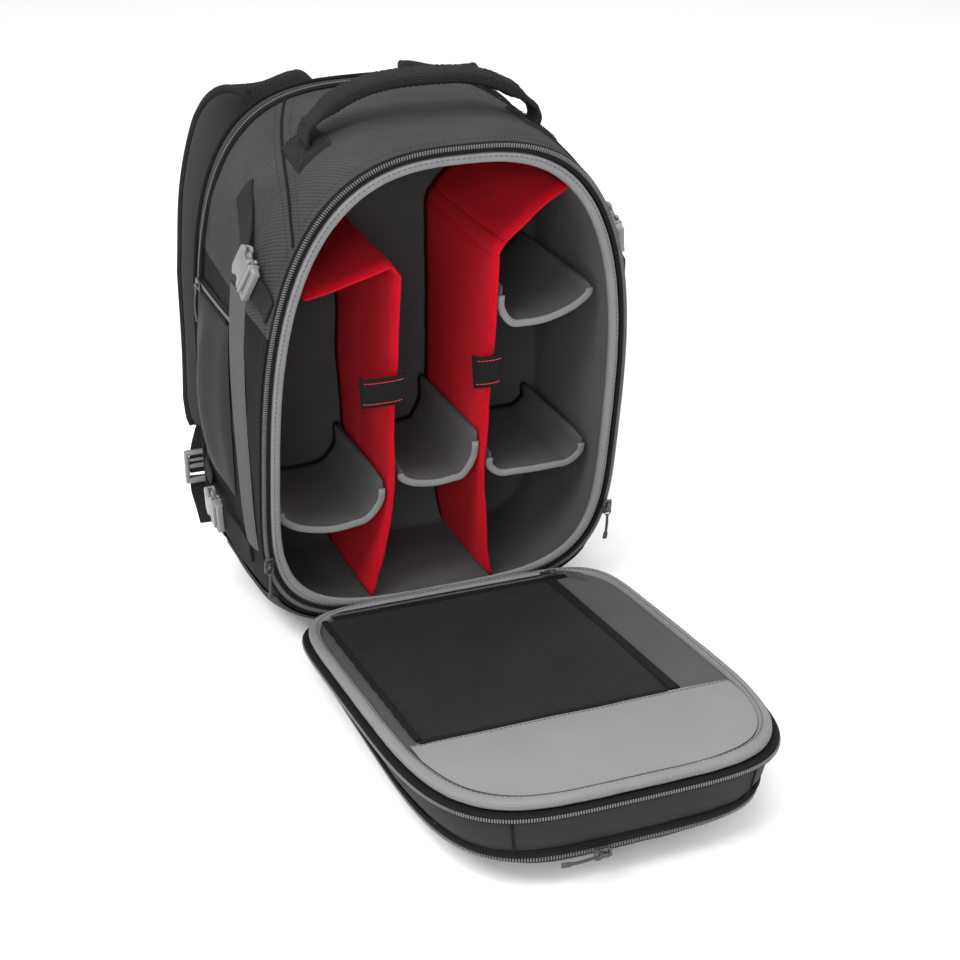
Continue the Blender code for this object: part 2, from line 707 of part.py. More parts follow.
def make_lid_inside():
    """Mesh pocket, its zip and the smooth panel at the free end."""
    us, vs = spread(*MESH_U, 8), spread(*MESH_V, 9)
    low = [[lid_place(u, v, 0.0) for v in vs] for u in us]

    def rise(i, j):
        bow = math.sin(math.pi * i / (len(us) - 1)) * math.sin(math.pi * j / (len(vs) - 1))
        return -0.0012 - MESH_RISE * max(bow, 0.0) ** 0.7

    high = [[lid_place(u, v, rise(i, j)) for j, v in enumerate(vs)] for i, u in enumerate(us)]
    hinge = (LID_SHIFT, HINGE_Y, HINGE_Z)
    sheet_solid("lid_mesh", low, high, "mesh_fabric", hinge)
    zip_v = (0.0165, 0.0225)
    strip = [[[lid_place(u, v, w) for v in zip_v] for u in spread(-0.094, 0.094, 6)]
             for w in (0.0, -0.0018)]
    sheet_solid("mesh_zip_track", *strip, "zip_coil", hinge)
    p = lid_place(0.080, sum(zip_v) / 2, -0.0024)
    axes = (Vector((1, 0, 0)), LID_ALONG, LID_UP)
    block("mesh_zip_slider", (-0.007, -0.0042, 0), (0.007, 0.0042, 0.0042), 0.0008,
          "zip_metal", p, axes, p)
    steps = 18
    inset = -0.0100
    near = []
    for i in range(steps + 1):
        angle = mix(math.radians(22), math.radians(158), i / steps)
        near.append(lid_uv(angle, inset))
    far_v = MESH_V[1] + 0.0015
    faces = []
    for w in (0.0, -0.0018):
        rows = []
        for u, v in near:
            rows.append([lid_place(u, mix(far_v, max(v, far_v + 0.002), k), w) for k in (0, 0.5, 1)])
        faces.append(rows)
    sheet_solid("lid_end_panel", *faces, "light_grey_fabric", hinge)


def make_hinge_strip():
    """Fabric hinge between the body's lower edge and the lid."""
    rows = []
    for x in spread(-0.092, 0.100, 7):
        y0, z0 = -0.0788, 0.0150
        rows.append([Vector((x, y0, z0)), Vector((x, y0 - 0.0016, z0)),
                     Vector((x, y0 - 0.0016, z0 + 0.008)), Vector((x, y0, z0 + 0.008))])
    loft_solid("hinge_strip", rows, "black_fabric")


# ---------------------------------------------------------------- build
def main():
    for obj in list(bpy.data.objects):
        bpy.data.objects.remove(obj)
    make_shell()
    make_liner()
    make_rim()
    make_boot()
    make_back()
    make_dividers()
    make_shelves()
    make_loops()
    make_handle()
    make_shoulder_straps()
    make_side_pockets()
    make_side_straps()
    make_laptop_zip()
    make_main_sliders()
    make_lid()
    make_tray()
    make_lid_inside()
    make_hinge_strip()


main()
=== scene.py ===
"""Looks of the front-opening camera backpack: soft goods, zips, buckles, floor, light and camera."""
import math

import bmesh
import bpy
from mathutils import Matrix, Vector, noise


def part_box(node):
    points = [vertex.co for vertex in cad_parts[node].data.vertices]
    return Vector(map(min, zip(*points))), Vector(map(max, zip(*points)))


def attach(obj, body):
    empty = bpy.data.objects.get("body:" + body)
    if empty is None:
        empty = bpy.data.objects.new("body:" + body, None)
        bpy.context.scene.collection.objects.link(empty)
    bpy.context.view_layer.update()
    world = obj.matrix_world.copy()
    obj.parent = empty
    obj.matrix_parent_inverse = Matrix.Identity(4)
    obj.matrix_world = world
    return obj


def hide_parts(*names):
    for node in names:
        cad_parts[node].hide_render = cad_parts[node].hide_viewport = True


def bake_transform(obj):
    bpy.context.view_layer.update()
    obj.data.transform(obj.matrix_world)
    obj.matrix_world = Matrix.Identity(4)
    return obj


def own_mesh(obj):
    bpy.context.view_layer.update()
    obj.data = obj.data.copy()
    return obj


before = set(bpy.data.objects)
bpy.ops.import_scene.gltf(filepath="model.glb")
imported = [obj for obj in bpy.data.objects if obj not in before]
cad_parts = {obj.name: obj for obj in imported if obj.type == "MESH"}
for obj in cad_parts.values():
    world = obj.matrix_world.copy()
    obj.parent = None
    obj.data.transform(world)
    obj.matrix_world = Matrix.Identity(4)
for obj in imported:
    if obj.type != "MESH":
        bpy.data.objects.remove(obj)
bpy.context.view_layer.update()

# ---------------------------------------------------------------- driving dimensions, as in the frame
FRONT_Y = -0.071
BACK_Y = 0.078
LEAN = 0.1656
HALF_W_FRONT = 0.147
HALF_W_BACK = 0.150
SIDE_BULGE = 0.002
WAIST_Z = 0.158
TOP_Z = 0.414
FRONT_LOW_Z = 0.018
BASE_DEPTH = 0.25
POWER_LOW = (3.8, 4.6)
POWER_TOP = (2.8, 3.5)
SHELL_FLOOR = 0.006
LINER_OUT = -0.0036
LINER_IN = -0.012

LID_SHIFT = 0.006
HINGE_Y = -0.0825
HINGE_Z = 0.0335
LID_SLOPE = math.radians(6.7)
LID_HALF_W = 0.131
LID_START = 0.002
LID_LENGTH = 0.3625
LID_MID = 0.150
LID_POWER = (6.5, 4.3)
TRAY_TOP = 0.0125
TRAY_WALL = ((0.0, 0.0), (0.30, -0.003), (0.55, -0.010), (0.80, -0.022), (1.0, -0.040))
LID_ALONG = Vector((0, -math.cos(LID_SLOPE), math.sin(LID_SLOPE)))
LID_UP = Vector((0, math.sin(LID_SLOPE), math.cos(LID_SLOPE)))

SIDES = ((-1, "left"), (1, "right"))
X_AXIS = Vector((1, 0, 0))
Y_AXIS = Vector((0, 1, 0))
Z_AXIS = Vector((0, 0, 1))


def mix(a, b, k):
    return a + (b - a) * k


def spread(a, b, count):
    return [mix(a, b, i / (count - 1)) for i in range(count)]


def clamp(value, low=0.0, high=1.0):
    return min(max(value, low), high)


def hump(k, exponent=1.0):
    """Smooth rise from 0 to 1 and back as k goes from 0 to 1."""
    return max(0.0, math.sin(math.pi * clamp(k))) ** exponent


def power(value, exponent):
    return math.copysign(abs(value) ** exponent, value)


def body_depth(y, z):
    return (y - FRONT_Y + z * LEAN) / (BACK_Y - FRONT_Y + z * LEAN)


def body_y(depth, z):
    return FRONT_Y + depth * (BACK_Y - FRONT_Y) - z * (1 - depth) * LEAN


def section(depth, off):
    d = clamp(depth)
    low = mix(FRONT_LOW_Z, 0.0, min(1.0, d / BASE_DEPTH) ** 0.6)
    half = mix(HALF_W_FRONT, HALF_W_BACK, d) + SIDE_BULGE * math.sin(math.pi * d)
    return half + off, low - off, TOP_Z + off, mix(*POWER_LOW, d), mix(*POWER_TOP, d)


def body_point(depth, angle, off, floor=None):
    """Point on the body's outline: angle 0 at +X, a quarter turn at the top."""
    half, low, top, n_low, n_top = section(depth, off)
    c, s = math.cos(angle), math.sin(angle)
    n = n_top if s >= 0 else n_low
    x = half * power(c, 2 / n)
    z = WAIST_Z + (top - WAIST_Z if s >= 0 else WAIST_Z - low) * power(s, 2 / n)
    z = max(z, SHELL_FLOOR - off if floor is None else floor)
    return Vector((x, body_y(depth, z), z))


def side_x(y, z, off):
    half, low, top, n_low, n_top = section(body_depth(y, z), off)
    if z >= WAIST_Z:
        rise, n = (z - WAIST_Z) / (top - WAIST_Z), n_top
    else:
        rise, n = (WAIST_Z - z) / (WAIST_Z - low), n_low
    return half * (1 - min(rise, 1.0) ** n) ** (1 / n)


def side_point(side, y, z, off):
    """Point on the left (-1) or right (1) side of the body."""
    return Vector((side * side_x(y, z, off), y, z))


def top_z(x, y, off):
    z = TOP_Z
    for _ in range(4):
        half, _low, top, _n_low, n_top = section(body_depth(y, z), off)
        z = WAIST_Z + (top - WAIST_Z) * (1 - abs(x / half) ** n_top) ** (1 / n_top)
    return z


def lid_place(u, v, w):
    """Point on the lid: u across, v from the hinge, w below the inner face."""
    return Vector((u + LID_SHIFT, HINGE_Y, HINGE_Z)) + v * LID_ALONG - w * LID_UP


def lid_uv(angle, off):
    c, s = math.cos(angle), math.sin(angle)
    n = LID_POWER[1] if s >= 0 else LID_POWER[0]
    reach = (LID_LENGTH - LID_MID if s >= 0 else LID_MID - LID_START) + off
    return (LID_HALF_W + off) * power(c, 2 / n), LID_MID + reach * power(s, 2 / n)


def lid_spot(angle, off, w):
    """Point on the lid's outline, off outwards and w below the inner face."""
    return lid_place(*lid_uv(angle, off), w)


def tray_off(drop):
    for (d0, o0), (d1, o1) in zip(TRAY_WALL, TRAY_WALL[1:]):
        if drop <= d1:
            return mix(o0, o1, (drop - d0) / (d1 - d0))
    return TRAY_WALL[-1][1]


def tray_point(angle, drop, off):
    """Point on the tray's wall: drop runs from 0 at its top to 1 on the floor."""
    p = lid_spot(angle, off, TRAY_TOP)
    return Vector((p.x, p.y, mix(p.z, 0.0, drop)))


def ripple(point, size, seed=0.0):
    """Smooth noise from -1 to 1 with features of the given size."""
    return noise.noise(point / size + Vector((seed, seed * 0.7, seed * 1.3)))


def even_angles(curve, count, start=0.0):
    """Angles that step evenly along a closed outline, from start once round."""
    fine = 720
    angles = [start + 2 * math.pi * i / fine for i in range(fine + 1)]
    points = [curve(a) for a in angles]
    run = [0.0]
    for p, q in zip(points, points[1:]):
        run.append(run[-1] + (q - p).length)
    result, k = [], 0
    for i in range(count):
        target = run[-1] * i / count
        while run[k + 1] < target:
            k += 1
        result.append(mix(angles[k], angles[k + 1], (target - run[k]) / max(run[k + 1] - run[k], 1e-9)))
    return result


# ---------------------------------------------------------------- materials
class Look:
    """A procedural material under construction."""

    def __init__(self, name, roughness, sheen=0.0, metallic=0.0, specular=0.5):
        self.material = bpy.data.materials.new(name)
        self.material.use_nodes = True
        self.tree = self.material.node_tree
        self.shader = self.tree.nodes["Principled BSDF"]
        self.shader.inputs["Sheen Weight"].default_value = sheen
        self.shader.inputs["Sheen Roughness"].default_value = 0.5
        self.shader.inputs["Metallic"].default_value = metallic
        self.shader.inputs["Specular IOR Level"].default_value = specular
        self.roughness = roughness
        self.place = self.tree.nodes.new("ShaderNodeTexCoord").outputs["Object"]

    def link(self, value, socket):
        if isinstance(value, (int, float)):
            socket.default_value = value
        else:
            self.tree.links.new(value, socket)

    def math(self, operation, a, b=0.0, clamped=False):
        node = self.tree.nodes.new("ShaderNodeMath")
        node.operation = operation
        node.use_clamp = clamped
        self.link(a, node.inputs[0])
        self.link(b, node.inputs[1])
        return node.outputs[0]

    def weighted(self, a, share_a, b, share_b, clamped=False):
        return self.math("ADD", self.math("MULTIPLY", a, share_a), self.math("MULTIPLY", b, share_b), clamped)

    def noise(self, scale, detail=2.0, rough=0.5):
        node = self.tree.nodes.new("ShaderNodeTexNoise")
        node.inputs["Scale"].default_value = scale
        node.inputs["Detail"].default_value = detail
        node.inputs["Roughness"].default_value = rough
        self.tree.links.new(self.place, node.inputs["Vector"])
        return node.outputs["Fac"]

    def cells(self, scale):
        node = self.tree.nodes.new("ShaderNodeTexVoronoi")
        node.inputs["Scale"].default_value = scale
        self.tree.links.new(self.place, node.inputs["Vector"])
        return node.outputs["Distance"]

    def cloth_axes(self, pitch):
        """Positions along and across the cloth, counted in threads."""
        node = self.tree.nodes.new("ShaderNodeAttribute")
        node.attribute_name = "cloth"
        split = self.tree.nodes.new("ShaderNodeSeparateXYZ")
        self.tree.links.new(node.outputs["Vector"], split.inputs[0])
        return [self.math("MULTIPLY", split.outputs[i], math.pi / pitch) for i in (0, 1)]

    def basket(self, pitch):
        u, v = self.cloth_axes(pitch)
        crossing = self.math("MULTIPLY", self.math("SINE", u), self.math("SINE", v))
        return self.math("ADD", self.math("MULTIPLY", crossing, 0.5), 0.5)

    def twill(self, pitch):
        u, v = self.cloth_axes(pitch)
        diagonal = self.math("SINE", self.math("ADD", u, v))
        return self.math("ADD", self.math("MULTIPLY", diagonal, 0.5), 0.5)

    def ribs(self, pitch):
        u, v = self.cloth_axes(pitch)
        rib = self.math("ABSOLUTE", self.math("SINE", u))
        bar = self.math("SINE", self.math("MULTIPLY", v, 1.7))
        return self.math("MULTIPLY", rib, self.math("ADD", self.math("MULTIPLY", bar, 0.2), 0.8))

    def paint(self, dark, light, factor):
        node = self.tree.nodes.new("ShaderNodeMix")
        node.data_type = "RGBA"
        node.inputs["A"].default_value = (*dark, 1.0)
        node.inputs["B"].default_value = (*light, 1.0)
        self.link(factor, node.inputs[0])
        self.tree.links.new(node.outputs["Result"], self.shader.inputs["Base Color"])

    def relief(self, height, distance, strength=1.0):
        node = self.tree.nodes.new("ShaderNodeBump")
        node.inputs["Distance"].default_value = distance
        node.inputs["Strength"].default_value = strength
        self.link(height, node.inputs["Height"])
        self.tree.links.new(node.outputs["Normal"], self.shader.inputs["Normal"])

    def polish(self, factor, swing):
        """Roughness that swings round the material's own value."""
        swung = self.math("MULTIPLY", self.math("SUBTRACT", factor, 0.5), 2 * swing)
        self.link(self.math("ADD", swung, self.roughness, True), self.shader.inputs["Roughness"])


def grey(level):
    return level, level, level * 1.03


def fabric(name, dark, light, pattern, pitch, relief, roughness=0.85, sheen=0.15):
    """Woven cloth: threads, soft clouds of wear and loose fibres."""
    look = Look(name, roughness, sheen, specular=0.05)
    fibres = look.noise(900, 3.0, 0.6)
    clouds = look.noise(18, 3.0, 0.6)
    threads = getattr(look, pattern)(pitch) if pattern else fibres
    factor = look.weighted(threads, 0.5, clouds, 0.5)
    look.paint(dark, light, look.math("ADD", factor, look.math("MULTIPLY", fibres, 0.12), True))
    height = look.math("ADD", threads, look.math("MULTIPLY", fibres, 0.5))
    look.relief(height, relief)
    look.polish(clouds, 0.10)
    return look.material


def fleece(name, dark, light):
    look = Look(name, 0.95, 0.02, specular=0.0)
    nap = look.noise(420, 5.0, 0.75)
    clouds = look.noise(30, 4.0, 0.7)
    look.paint(dark, light, look.weighted(nap, 0.6, clouds, 0.4))
    look.relief(nap, 0.0011)
    look.polish(nap, 0.05)
    return look.material


def moulded(name, dark, light, roughness):
    look = Look(name, roughness)
    grain = look.noise(1400, 2.0)
    clouds = look.noise(70, 3.0)
    geometry = look.tree.nodes.new("ShaderNodeNewGeometry").outputs["Pointiness"]
    worn = look.math("MULTIPLY", look.math("SUBTRACT", geometry, 0.51), 6.0, True)
    look.paint(dark, light, look.math("ADD", look.math("MULTIPLY", clouds, 0.5), worn, True))
    look.relief(grain, 0.00008)
    look.polish(clouds, 0.08)
    return look.material


def metal(name, dark, light, roughness):
    look = Look(name, roughness, metallic=0.85)
    scuffs = look.noise(300, 4.0, 0.7)
    look.paint(dark, light, scuffs)
    look.relief(scuffs, 0.00006)
    look.polish(scuffs, 0.15)
    return look.material


def air_mesh(name, dark, light, scale=560):
    """Spacer mesh: small open cells over foam."""
    look = Look(name, 0.9, 0.02, specular=0.05)
    cells = look.cells(scale)
    clouds = look.noise(20, 3.0)
    look.paint(light, dark, look.weighted(cells, 0.9, clouds, 0.2, True))
    look.relief(look.math("MULTIPLY", cells, -1.0), 0.0006)
    look.polish(clouds, 0.06)
    return look.material


def net(name, dark, light, pitch, opening):
    """Fine open net that shows some of what lies under it."""
    look = Look(name, 0.8, 0.02, specular=0.12)
    holes = look.basket(pitch)
    clouds = look.noise(25, 3.0)
    look.paint(dark, light, look.weighted(holes, 0.4, clouds, 0.6))
    look.relief(holes, 0.0004)
    look.polish(clouds, 0.08)
    haze = 0.12
    thread = look.math("MULTIPLY", look.math("GREATER_THAN", opening, holes), 1.0 - haze)
    look.link(look.math("ADD", thread, haze, True), look.shader.inputs["Alpha"])
    return look.material


LOOKS = {
    "ballistic": fabric("ballistic_cloth", grey(0.001), grey(0.070), "basket", 0.0016, 0.0011, 0.85, 0.02),
    "smooth": fabric("smooth_cloth", grey(0.009), grey(0.029), "basket", 0.0008, 0.0001, 0.60, 0.02),
    "black": fabric("black_cloth", grey(0.002), grey(0.008), "basket", 0.0009, 0.0002, 0.75, 0.01),
    "band": fabric("band_cloth", grey(0.048), grey(0.105), "twill", 0.0011, 0.0004, 0.8, 0.02),
    "binding": fabric("binding_tape", grey(0.120), grey(0.225), "ribs", 0.0009, 0.0003, 0.85, 0.05),
    "lining": fabric("lining_cloth", grey(0.040), grey(0.088), "basket", 0.0008, 0.0003, 0.9, 0.05),
    "end": fabric("end_panel_cloth", grey(0.140), grey(0.200), "basket", 0.0007, 0.0001, 0.8, 0.05),
    "strap_face": fabric("strap_inner_cloth", grey(0.022), grey(0.050), "basket", 0.0009, 0.0003, 0.9, 0.03),
    "webbing": fabric("ribbed_webbing", grey(0.002), grey(0.030), "ribs", 0.0017, 0.0009, 0.75, 0.01),
    "tape": fabric("zip_tape_cloth", grey(0.003), grey(0.012), "basket", 0.0008, 0.0003, 0.8, 0.01),
    "loop": fabric("loop_tape", grey(0.003), grey(0.014), "twill", 0.0008, 0.0003, 0.7, 0.01),
    "label": fabric("red_label_cloth", (0.35, 0.008, 0.012), (0.60, 0.016, 0.024), "twill", 0.0008, 0.0002),
    "stitch": fabric("stitch_thread", grey(0.050), grey(0.110), None, 1.0, 0.0001, 0.7, 0.01),
    "dark_stitch": fabric("dark_thread", grey(0.012), grey(0.045), None, 1.0, 0.0001, 0.7, 0.01),
    "red": fleece("red_nap", (0.27, 0.002, 0.007), (0.60, 0.009, 0.022)),
    "buckle": moulded("buckle_plastic", grey(0.10), grey(0.20), 0.34),
    "coil": moulded("zip_coil_plastic", grey(0.040), grey(0.100), 0.40),
    "cord": moulded("cord_pull", grey(0.012), grey(0.045), 0.6),
    "metal": metal("slider_metal", grey(0.030), grey(0.140), 0.36),
    "air": air_mesh("back_air_mesh", grey(0.004), grey(0.017)),
    "net": net("pocket_net", grey(0.004), grey(0.018), 0.0010, 0.88),
}


# ---------------------------------------------------------------- mesh building
def cloth_run(rows, closed):
    """Distance along each row and between rows, for the weave."""
    table = []
    drop = 0.0
    for k, row in enumerate(rows):
        if k:
            drop += sum((p - q).length for p, q in zip(row, rows[k - 1])) / len(row)
        run, line = 0.0, []
        ends = list(row) + ([row[0]] if closed else [])
        for i, p in enumerate(ends):
            if i:
                run += (p - ends[i - 1]).length
            line.append(run)
        table.append((line, drop))
    return table


def place(obj, body, replaces=None):
    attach(obj, body)
    if replaces:
        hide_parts(replaces)
    return obj


def settle(obj):
    """Apply every modifier, so that the mesh is final."""
    graph = bpy.context.evaluated_depsgraph_get()
    mesh = bpy.data.meshes.new_from_object(obj.evaluated_get(graph), depsgraph=graph)
    obj.modifiers.clear()
    old, obj.data = obj.data, mesh
    bpy.data.meshes.remove(old)
    return obj


def add_wall(obj, thick):
    solid = obj.modifiers.new("Wall", "SOLIDIFY")
    solid.thickness = thick
    solid.offset = -1.0
    settle(obj)


def add_object(name, mesh, looks):
    for look in looks:
        mesh.materials.append(LOOKS[look])
    mesh.shade_smooth()
    obj = bpy.data.objects.new(name, mesh)
    bpy.context.scene.collection.objects.link(obj)
    return obj


def cloth(name, rows, looks, closed=False, loop=False, caps="", thick=0.0, zone=None):
    """Quad mesh through rows of points. caps closes "both" ends or the "last"; thick adds a wall inwards."""
    looks = [looks] if isinstance(looks, str) else looks
    count, total = len(rows[0]), len(rows)
    verts = [p for row in rows for p in row]
    run = cloth_run(rows + ([rows[0]] if loop else []), closed)
    faces, coords = [], []
    for k in range(total if loop else total - 1):
        k2 = (k + 1) % total
        for i in range(count if closed else count - 1):
            j = (i + 1) % count
            faces.append((k * count + i, k * count + j, k2 * count + j, k2 * count + i))
            low, high = run[k], run[k + 1]
            coords += [(low[0][i], low[1]), (low[0][i + 1], low[1]),
                       (high[0][i + 1], high[1]), (high[0][i], high[1])]
    if caps:
        ends = [(total - 1, 1)] if caps == "last" else [(0, -1), (total - 1, 1)]
        for k, order in ends:
            ring = list(range(k * count, k * count + count))[::order]
            faces.append(tuple(ring))
            coords += [(verts[i].x, verts[i].z) for i in ring]
    mesh = bpy.data.meshes.new(name)
    mesh.from_pydata([tuple(v) for v in verts], [], faces)
    layer = mesh.attributes.new("cloth", "FLOAT_VECTOR", "CORNER")
    layer.data.foreach_set("vector", [c for u, v in coords for c in (u, v, 0.0)])
    obj = add_object(name, mesh, looks)
    if zone:
        for face in mesh.polygons[:(total - 1) * count]:
            face.material_index = zone(face.index % count)
    if thick:
        add_wall(obj, thick)
    return obj


def square_to(path, i, wide):
    """Direction of a path at point i, and the width direction square to it."""
    along = (path[min(i + 1, len(path) - 1)] - path[max(i - 1, 0)]).normalized()
    return along, (wide - along * wide.dot(along)).normalized()


def strip_sections(path, wide, half_w, half_t, squareness=4.0, count=16):
    """Closed sections of a strap along a path, with the width directions given."""
    rows = []
    for i, point in enumerate(path):
        along, across = square_to(path, i, wide[i] if isinstance(wide, list) else wide)
        out = along.cross(across)
        w = half_w[i] if isinstance(half_w, list) else half_w
        t = half_t[i] if isinstance(half_t, list) else half_t
        row = []
        for k in range(count):
            a = 2 * math.pi * (k + 0.5) / count
            row.append(point + across * w * power(math.cos(a), 2 / squareness)
                       + out * t * power(math.sin(a), 2 / squareness))
        rows.append(row)
    return rows


def strap(name, path, wide, half_w, half_t, look, squareness=6.0, count=16, zone=None):
    """Closed webbing, tape or padded strap along a path."""
    rows = strip_sections(path, wide, half_w, half_t, squareness, count)
    return cloth(name, rows, look, closed=True, caps="both", zone=zone)


def curve_path(points, count):
    """Smooth curve through the given points."""
    points = [Vector(p) for p in points]
    padded = [2 * points[0] - points[1]] + points + [2 * points[-1] - points[-2]]
    result = []
    for i in range(count):
        t = i * (len(points) - 1) / (count - 1)
        k = min(int(t), len(points) - 2)
        p0, p1, p2, p3 = padded[k:k + 4]
        f = t - k
        result.append(0.5 * (2 * p1 + (p2 - p0) * f + (2 * p0 - 5 * p1 + 4 * p2 - p3) * f * f
                             + (3 * p1 - p0 - 3 * p2 + p3) * f ** 3))
    return result


def stations(line, spacing):
    """Even steps along (point, normal) pairs: point, direction and normal of each."""
    result, run, target = [], 0.0, spacing / 2
    for (p, n), (q, m) in zip(line, line[1:]):
        step = (q - p).length
        while step > 0 and target <= run + step:
            k = (target - run) / step
            result.append((p.lerp(q, k), (q - p).normalized(), n.lerp(m, k).normalized()))
            target += spacing
        run += step
    return result


def bead(long, wide, high):
    """Small rounded bar, as vertices and faces: long on X, wide on Y, high on Z."""
    verts, faces = [], []
    for x, k in ((-1, 0.55), (-0.7, 1), (0.7, 1), (1, 0.55)):
        for a in range(6):
            t = 2 * math.pi * (a + 0.5) / 6
            verts.append(Vector((x * long, wide * k * math.cos(t), high * k * math.sin(t))))
    for ring in range(3):
        for a in range(6):
            b = (a + 1) % 6
            faces.append((ring * 6 + a, ring * 6 + b, ring * 6 + 6 + b, ring * 6 + 6 + a))
    return verts, faces + [tuple(range(5, -1, -1)), tuple(range(18, 24))]


def repeat(name, shape, spots, look, body):
    """One mesh with a copy of shape at each (point, direction, normal)."""
    verts, faces = [], []
    for point, along, up in spots:
        across = up.cross(along).normalized()
        up = along.cross(across).normalized()
        base = len(verts)
        verts += [tuple(point + along * v.x + across * v.y + up * v.z) for v in shape[0]]
        faces += [tuple(base + i for i in f) for f in shape[1]]
    mesh = bpy.data.meshes.new(name)
    mesh.from_pydata(verts, [], faces)
    return place(add_object(name, mesh, [look]), body)


def stitches(name, line, body, look="stitch", spacing=0.0042, length=0.0013):
    return repeat(name, bead(length, 0.00036, 0.0003), stations(line, spacing), look, body)


def teeth(name, line, body, spacing=0.0019, reach=0.0016):
    """Coil of a zip: short bars across the line."""
    spots = [(p, n.cross(d).normalized(), n) for p, d, n in stations(line, spacing)]
    return repeat(name, bead(reach, 0.0006, 0.0006), spots, "coil", body)


def rounded_box(bm, low, high, radius):
    """Add a box with rounded edges to a bmesh."""
    made = bmesh.ops.create_cube(bm, size=1.0)["verts"]
    for v in made:
        v.co = Vector(mix(low[i], high[i], v.co[i] + 0.5) for i in range(3))
    edges = list({e for v in made for e in v.link_edges})
    bmesh.ops.bevel(bm, geom=edges, offset=radius, segments=3, profile=0.5, affect="EDGES",
                    clamp_overlap=True)


def finish_moulded(bm, name, look, axes, origin):
    """Turn a bmesh from local axes to its place and make it an object."""
    turn = Matrix([[axes[c][r] for c in range(3)] for r in range(3)])
    for v in bm.verts:
        v.co = Vector(origin) + turn @ v.co
    bmesh.ops.recalc_face_normals(bm, faces=bm.faces)
    mesh = bpy.data.meshes.new(name)
    bm.to_mesh(mesh)
    bm.free()
    return add_object(name, mesh, [look])


def hard_piece(name, boxes, look, axes, origin, radius=0.0008):
    """Moulded or cast piece made of rounded boxes in local axes."""
    bm = bmesh.new()
    for low, high in boxes:
        rounded_box(bm, low, high, radius)
    return finish_moulded(bm, name, look, axes, origin)


def plate_piece(name, plates, look, axes, origin, bevel=0.0009):
    """Moulded piece made of flat plates: each is an outline mirrored across, with its low and high side."""
    bm = bmesh.new()
    for outline, low, high in plates:
        points = list(outline) + [(x, -y) for x, y in reversed(outline)]
        base = bm.faces.new([bm.verts.new((x, y, low)) for x, y in points])
        top = bmesh.ops.extrude_face_region(bm, geom=[base])["geom"]
        lifted = [g for g in top if isinstance(g, bmesh.types.BMVert)]
        bmesh.ops.translate(bm, verts=lifted, vec=(0, 0, high - low))
    bmesh.ops.recalc_face_normals(bm, faces=bm.faces)
    edges = [e for e in bm.edges if len(e.link_faces) == 2 and e.calc_face_angle(0) > 0.5]
    bmesh.ops.bevel(bm, geom=edges, offset=bevel, segments=3, profile=0.5, affect="EDGES", clamp_overlap=True)
    return finish_moulded(bm, name, look, axes, origin)


def join(obj, *others):
    """Put the meshes of others into obj."""
    bm = bmesh.new()
    bm.from_mesh(obj.data)
    for other in others:
        bm.from_mesh(other.data)
    bm.to_mesh(obj.data)
    bm.free()
    for other in others:
        bpy.data.objects.remove(other)
    obj.data.shade_smooth()
    return obj


def body_normal(depth, angle):
    step = 0.01
    around = body_point(depth, angle + step, 0) - body_point(depth, angle - step, 0)
    back = body_point(depth + step, angle, 0) - body_point(depth - step, angle, 0)
    return around.cross(back).normalized() * -1


def body_line(stops, off, count=60):
    """Points and normals over the body through (depth, angle) stops."""
    flat = curve_path([(d, a, 0) for d, a in stops], count)
    line = []
    for p in flat:
        normal = body_normal(p.x, p.y)
        point = body_point(p.x, p.y, off + cover_swell(p.x, p.y, body_point(p.x, p.y, 0)))
        if normal.dot(point - Vector((0, 0, WAIST_Z))) < 0:
            normal = -normal
        line.append((point, normal))
    return line


# ---------------------------------------------------------------- body cover
ANGLES = even_angles(lambda a: body_point(0.4, a, 0), 176, -math.pi / 2)
SEAM_STOPS = ((0.03, 139), (0.30, 128), (0.60, 118), (0.86, 108))


def cover_swell(depth, angle, point):
    """How far the fabric stands off the frame's shell: soft dents and folds."""
    folds = 0.0009 * ripple(point, 0.045) + 0.0006 * ripple(point, 0.020, 3.1)
    edge = clamp((depth - 0.02) / 0.12) * clamp((0.98 - depth) / 0.10)
    crown = 0.0012 * math.sin(math.pi * clamp(depth)) * clamp(math.sin(angle) + 0.2)
    return (folds + crown) * edge


PANEL_TOP = 0.36             # sine of the outline angle where the black side panels begin


def cover_zone(column):
    """Coarse fabric over the top, smooth black fabric on the lower sides."""
    return 1 if math.sin(ANGLES[column]) < PANEL_TOP else 0


def make_cover():
    depths = [0.017, 0.024, 0.036] + spread(0.05, 0.96, 26) + [0.975, 0.985, 0.995]
    rows = []
    for d in depths:
        row = []
        for a in ANGLES:
            flat = body_point(d, a, 0)
            roll = -0.002 * clamp((d - 0.975) / 0.02)
            row.append(body_point(d, a, cover_swell(d, a, flat) + roll))
        rows.append(row)
    cover = cloth("cover_body", rows, ["ballistic", "black"], closed=True, zone=cover_zone)
    cover.data.flip_normals()
    add_wall(cover, 0.0012)
    place(cover, "bag", "outer_shell")
    for side, label in SIDES:
        stops = [(d, math.radians(a if side < 0 else 180 - a)) for d, a in SEAM_STOPS]
        line = body_line(stops, 0.0006)
        welt = strap("welt_top_" + label, [p for p, _ in line], [n for _, n in line],
                     0.0010, 0.0012, "tape", 2.0, 8)
        place(welt, "bag")
        for shift in (-0.055, 0.055):
            row = [(d, a + shift) for d, a in stops]
            stitches(f"stitch_top_{label}_{'a' if shift < 0 else 'b'}", body_line(row, 0.0002), "bag",
                     "dark_stitch")
    stops = [(0.055, math.radians(a)) for a in spread(-35, 215, 26)]
    stitches("stitch_cover_front", body_line(stops, 0.0001, 240), "bag", "dark_stitch")


BAND_TOP = 0.296
BAND_LOW = 0.092


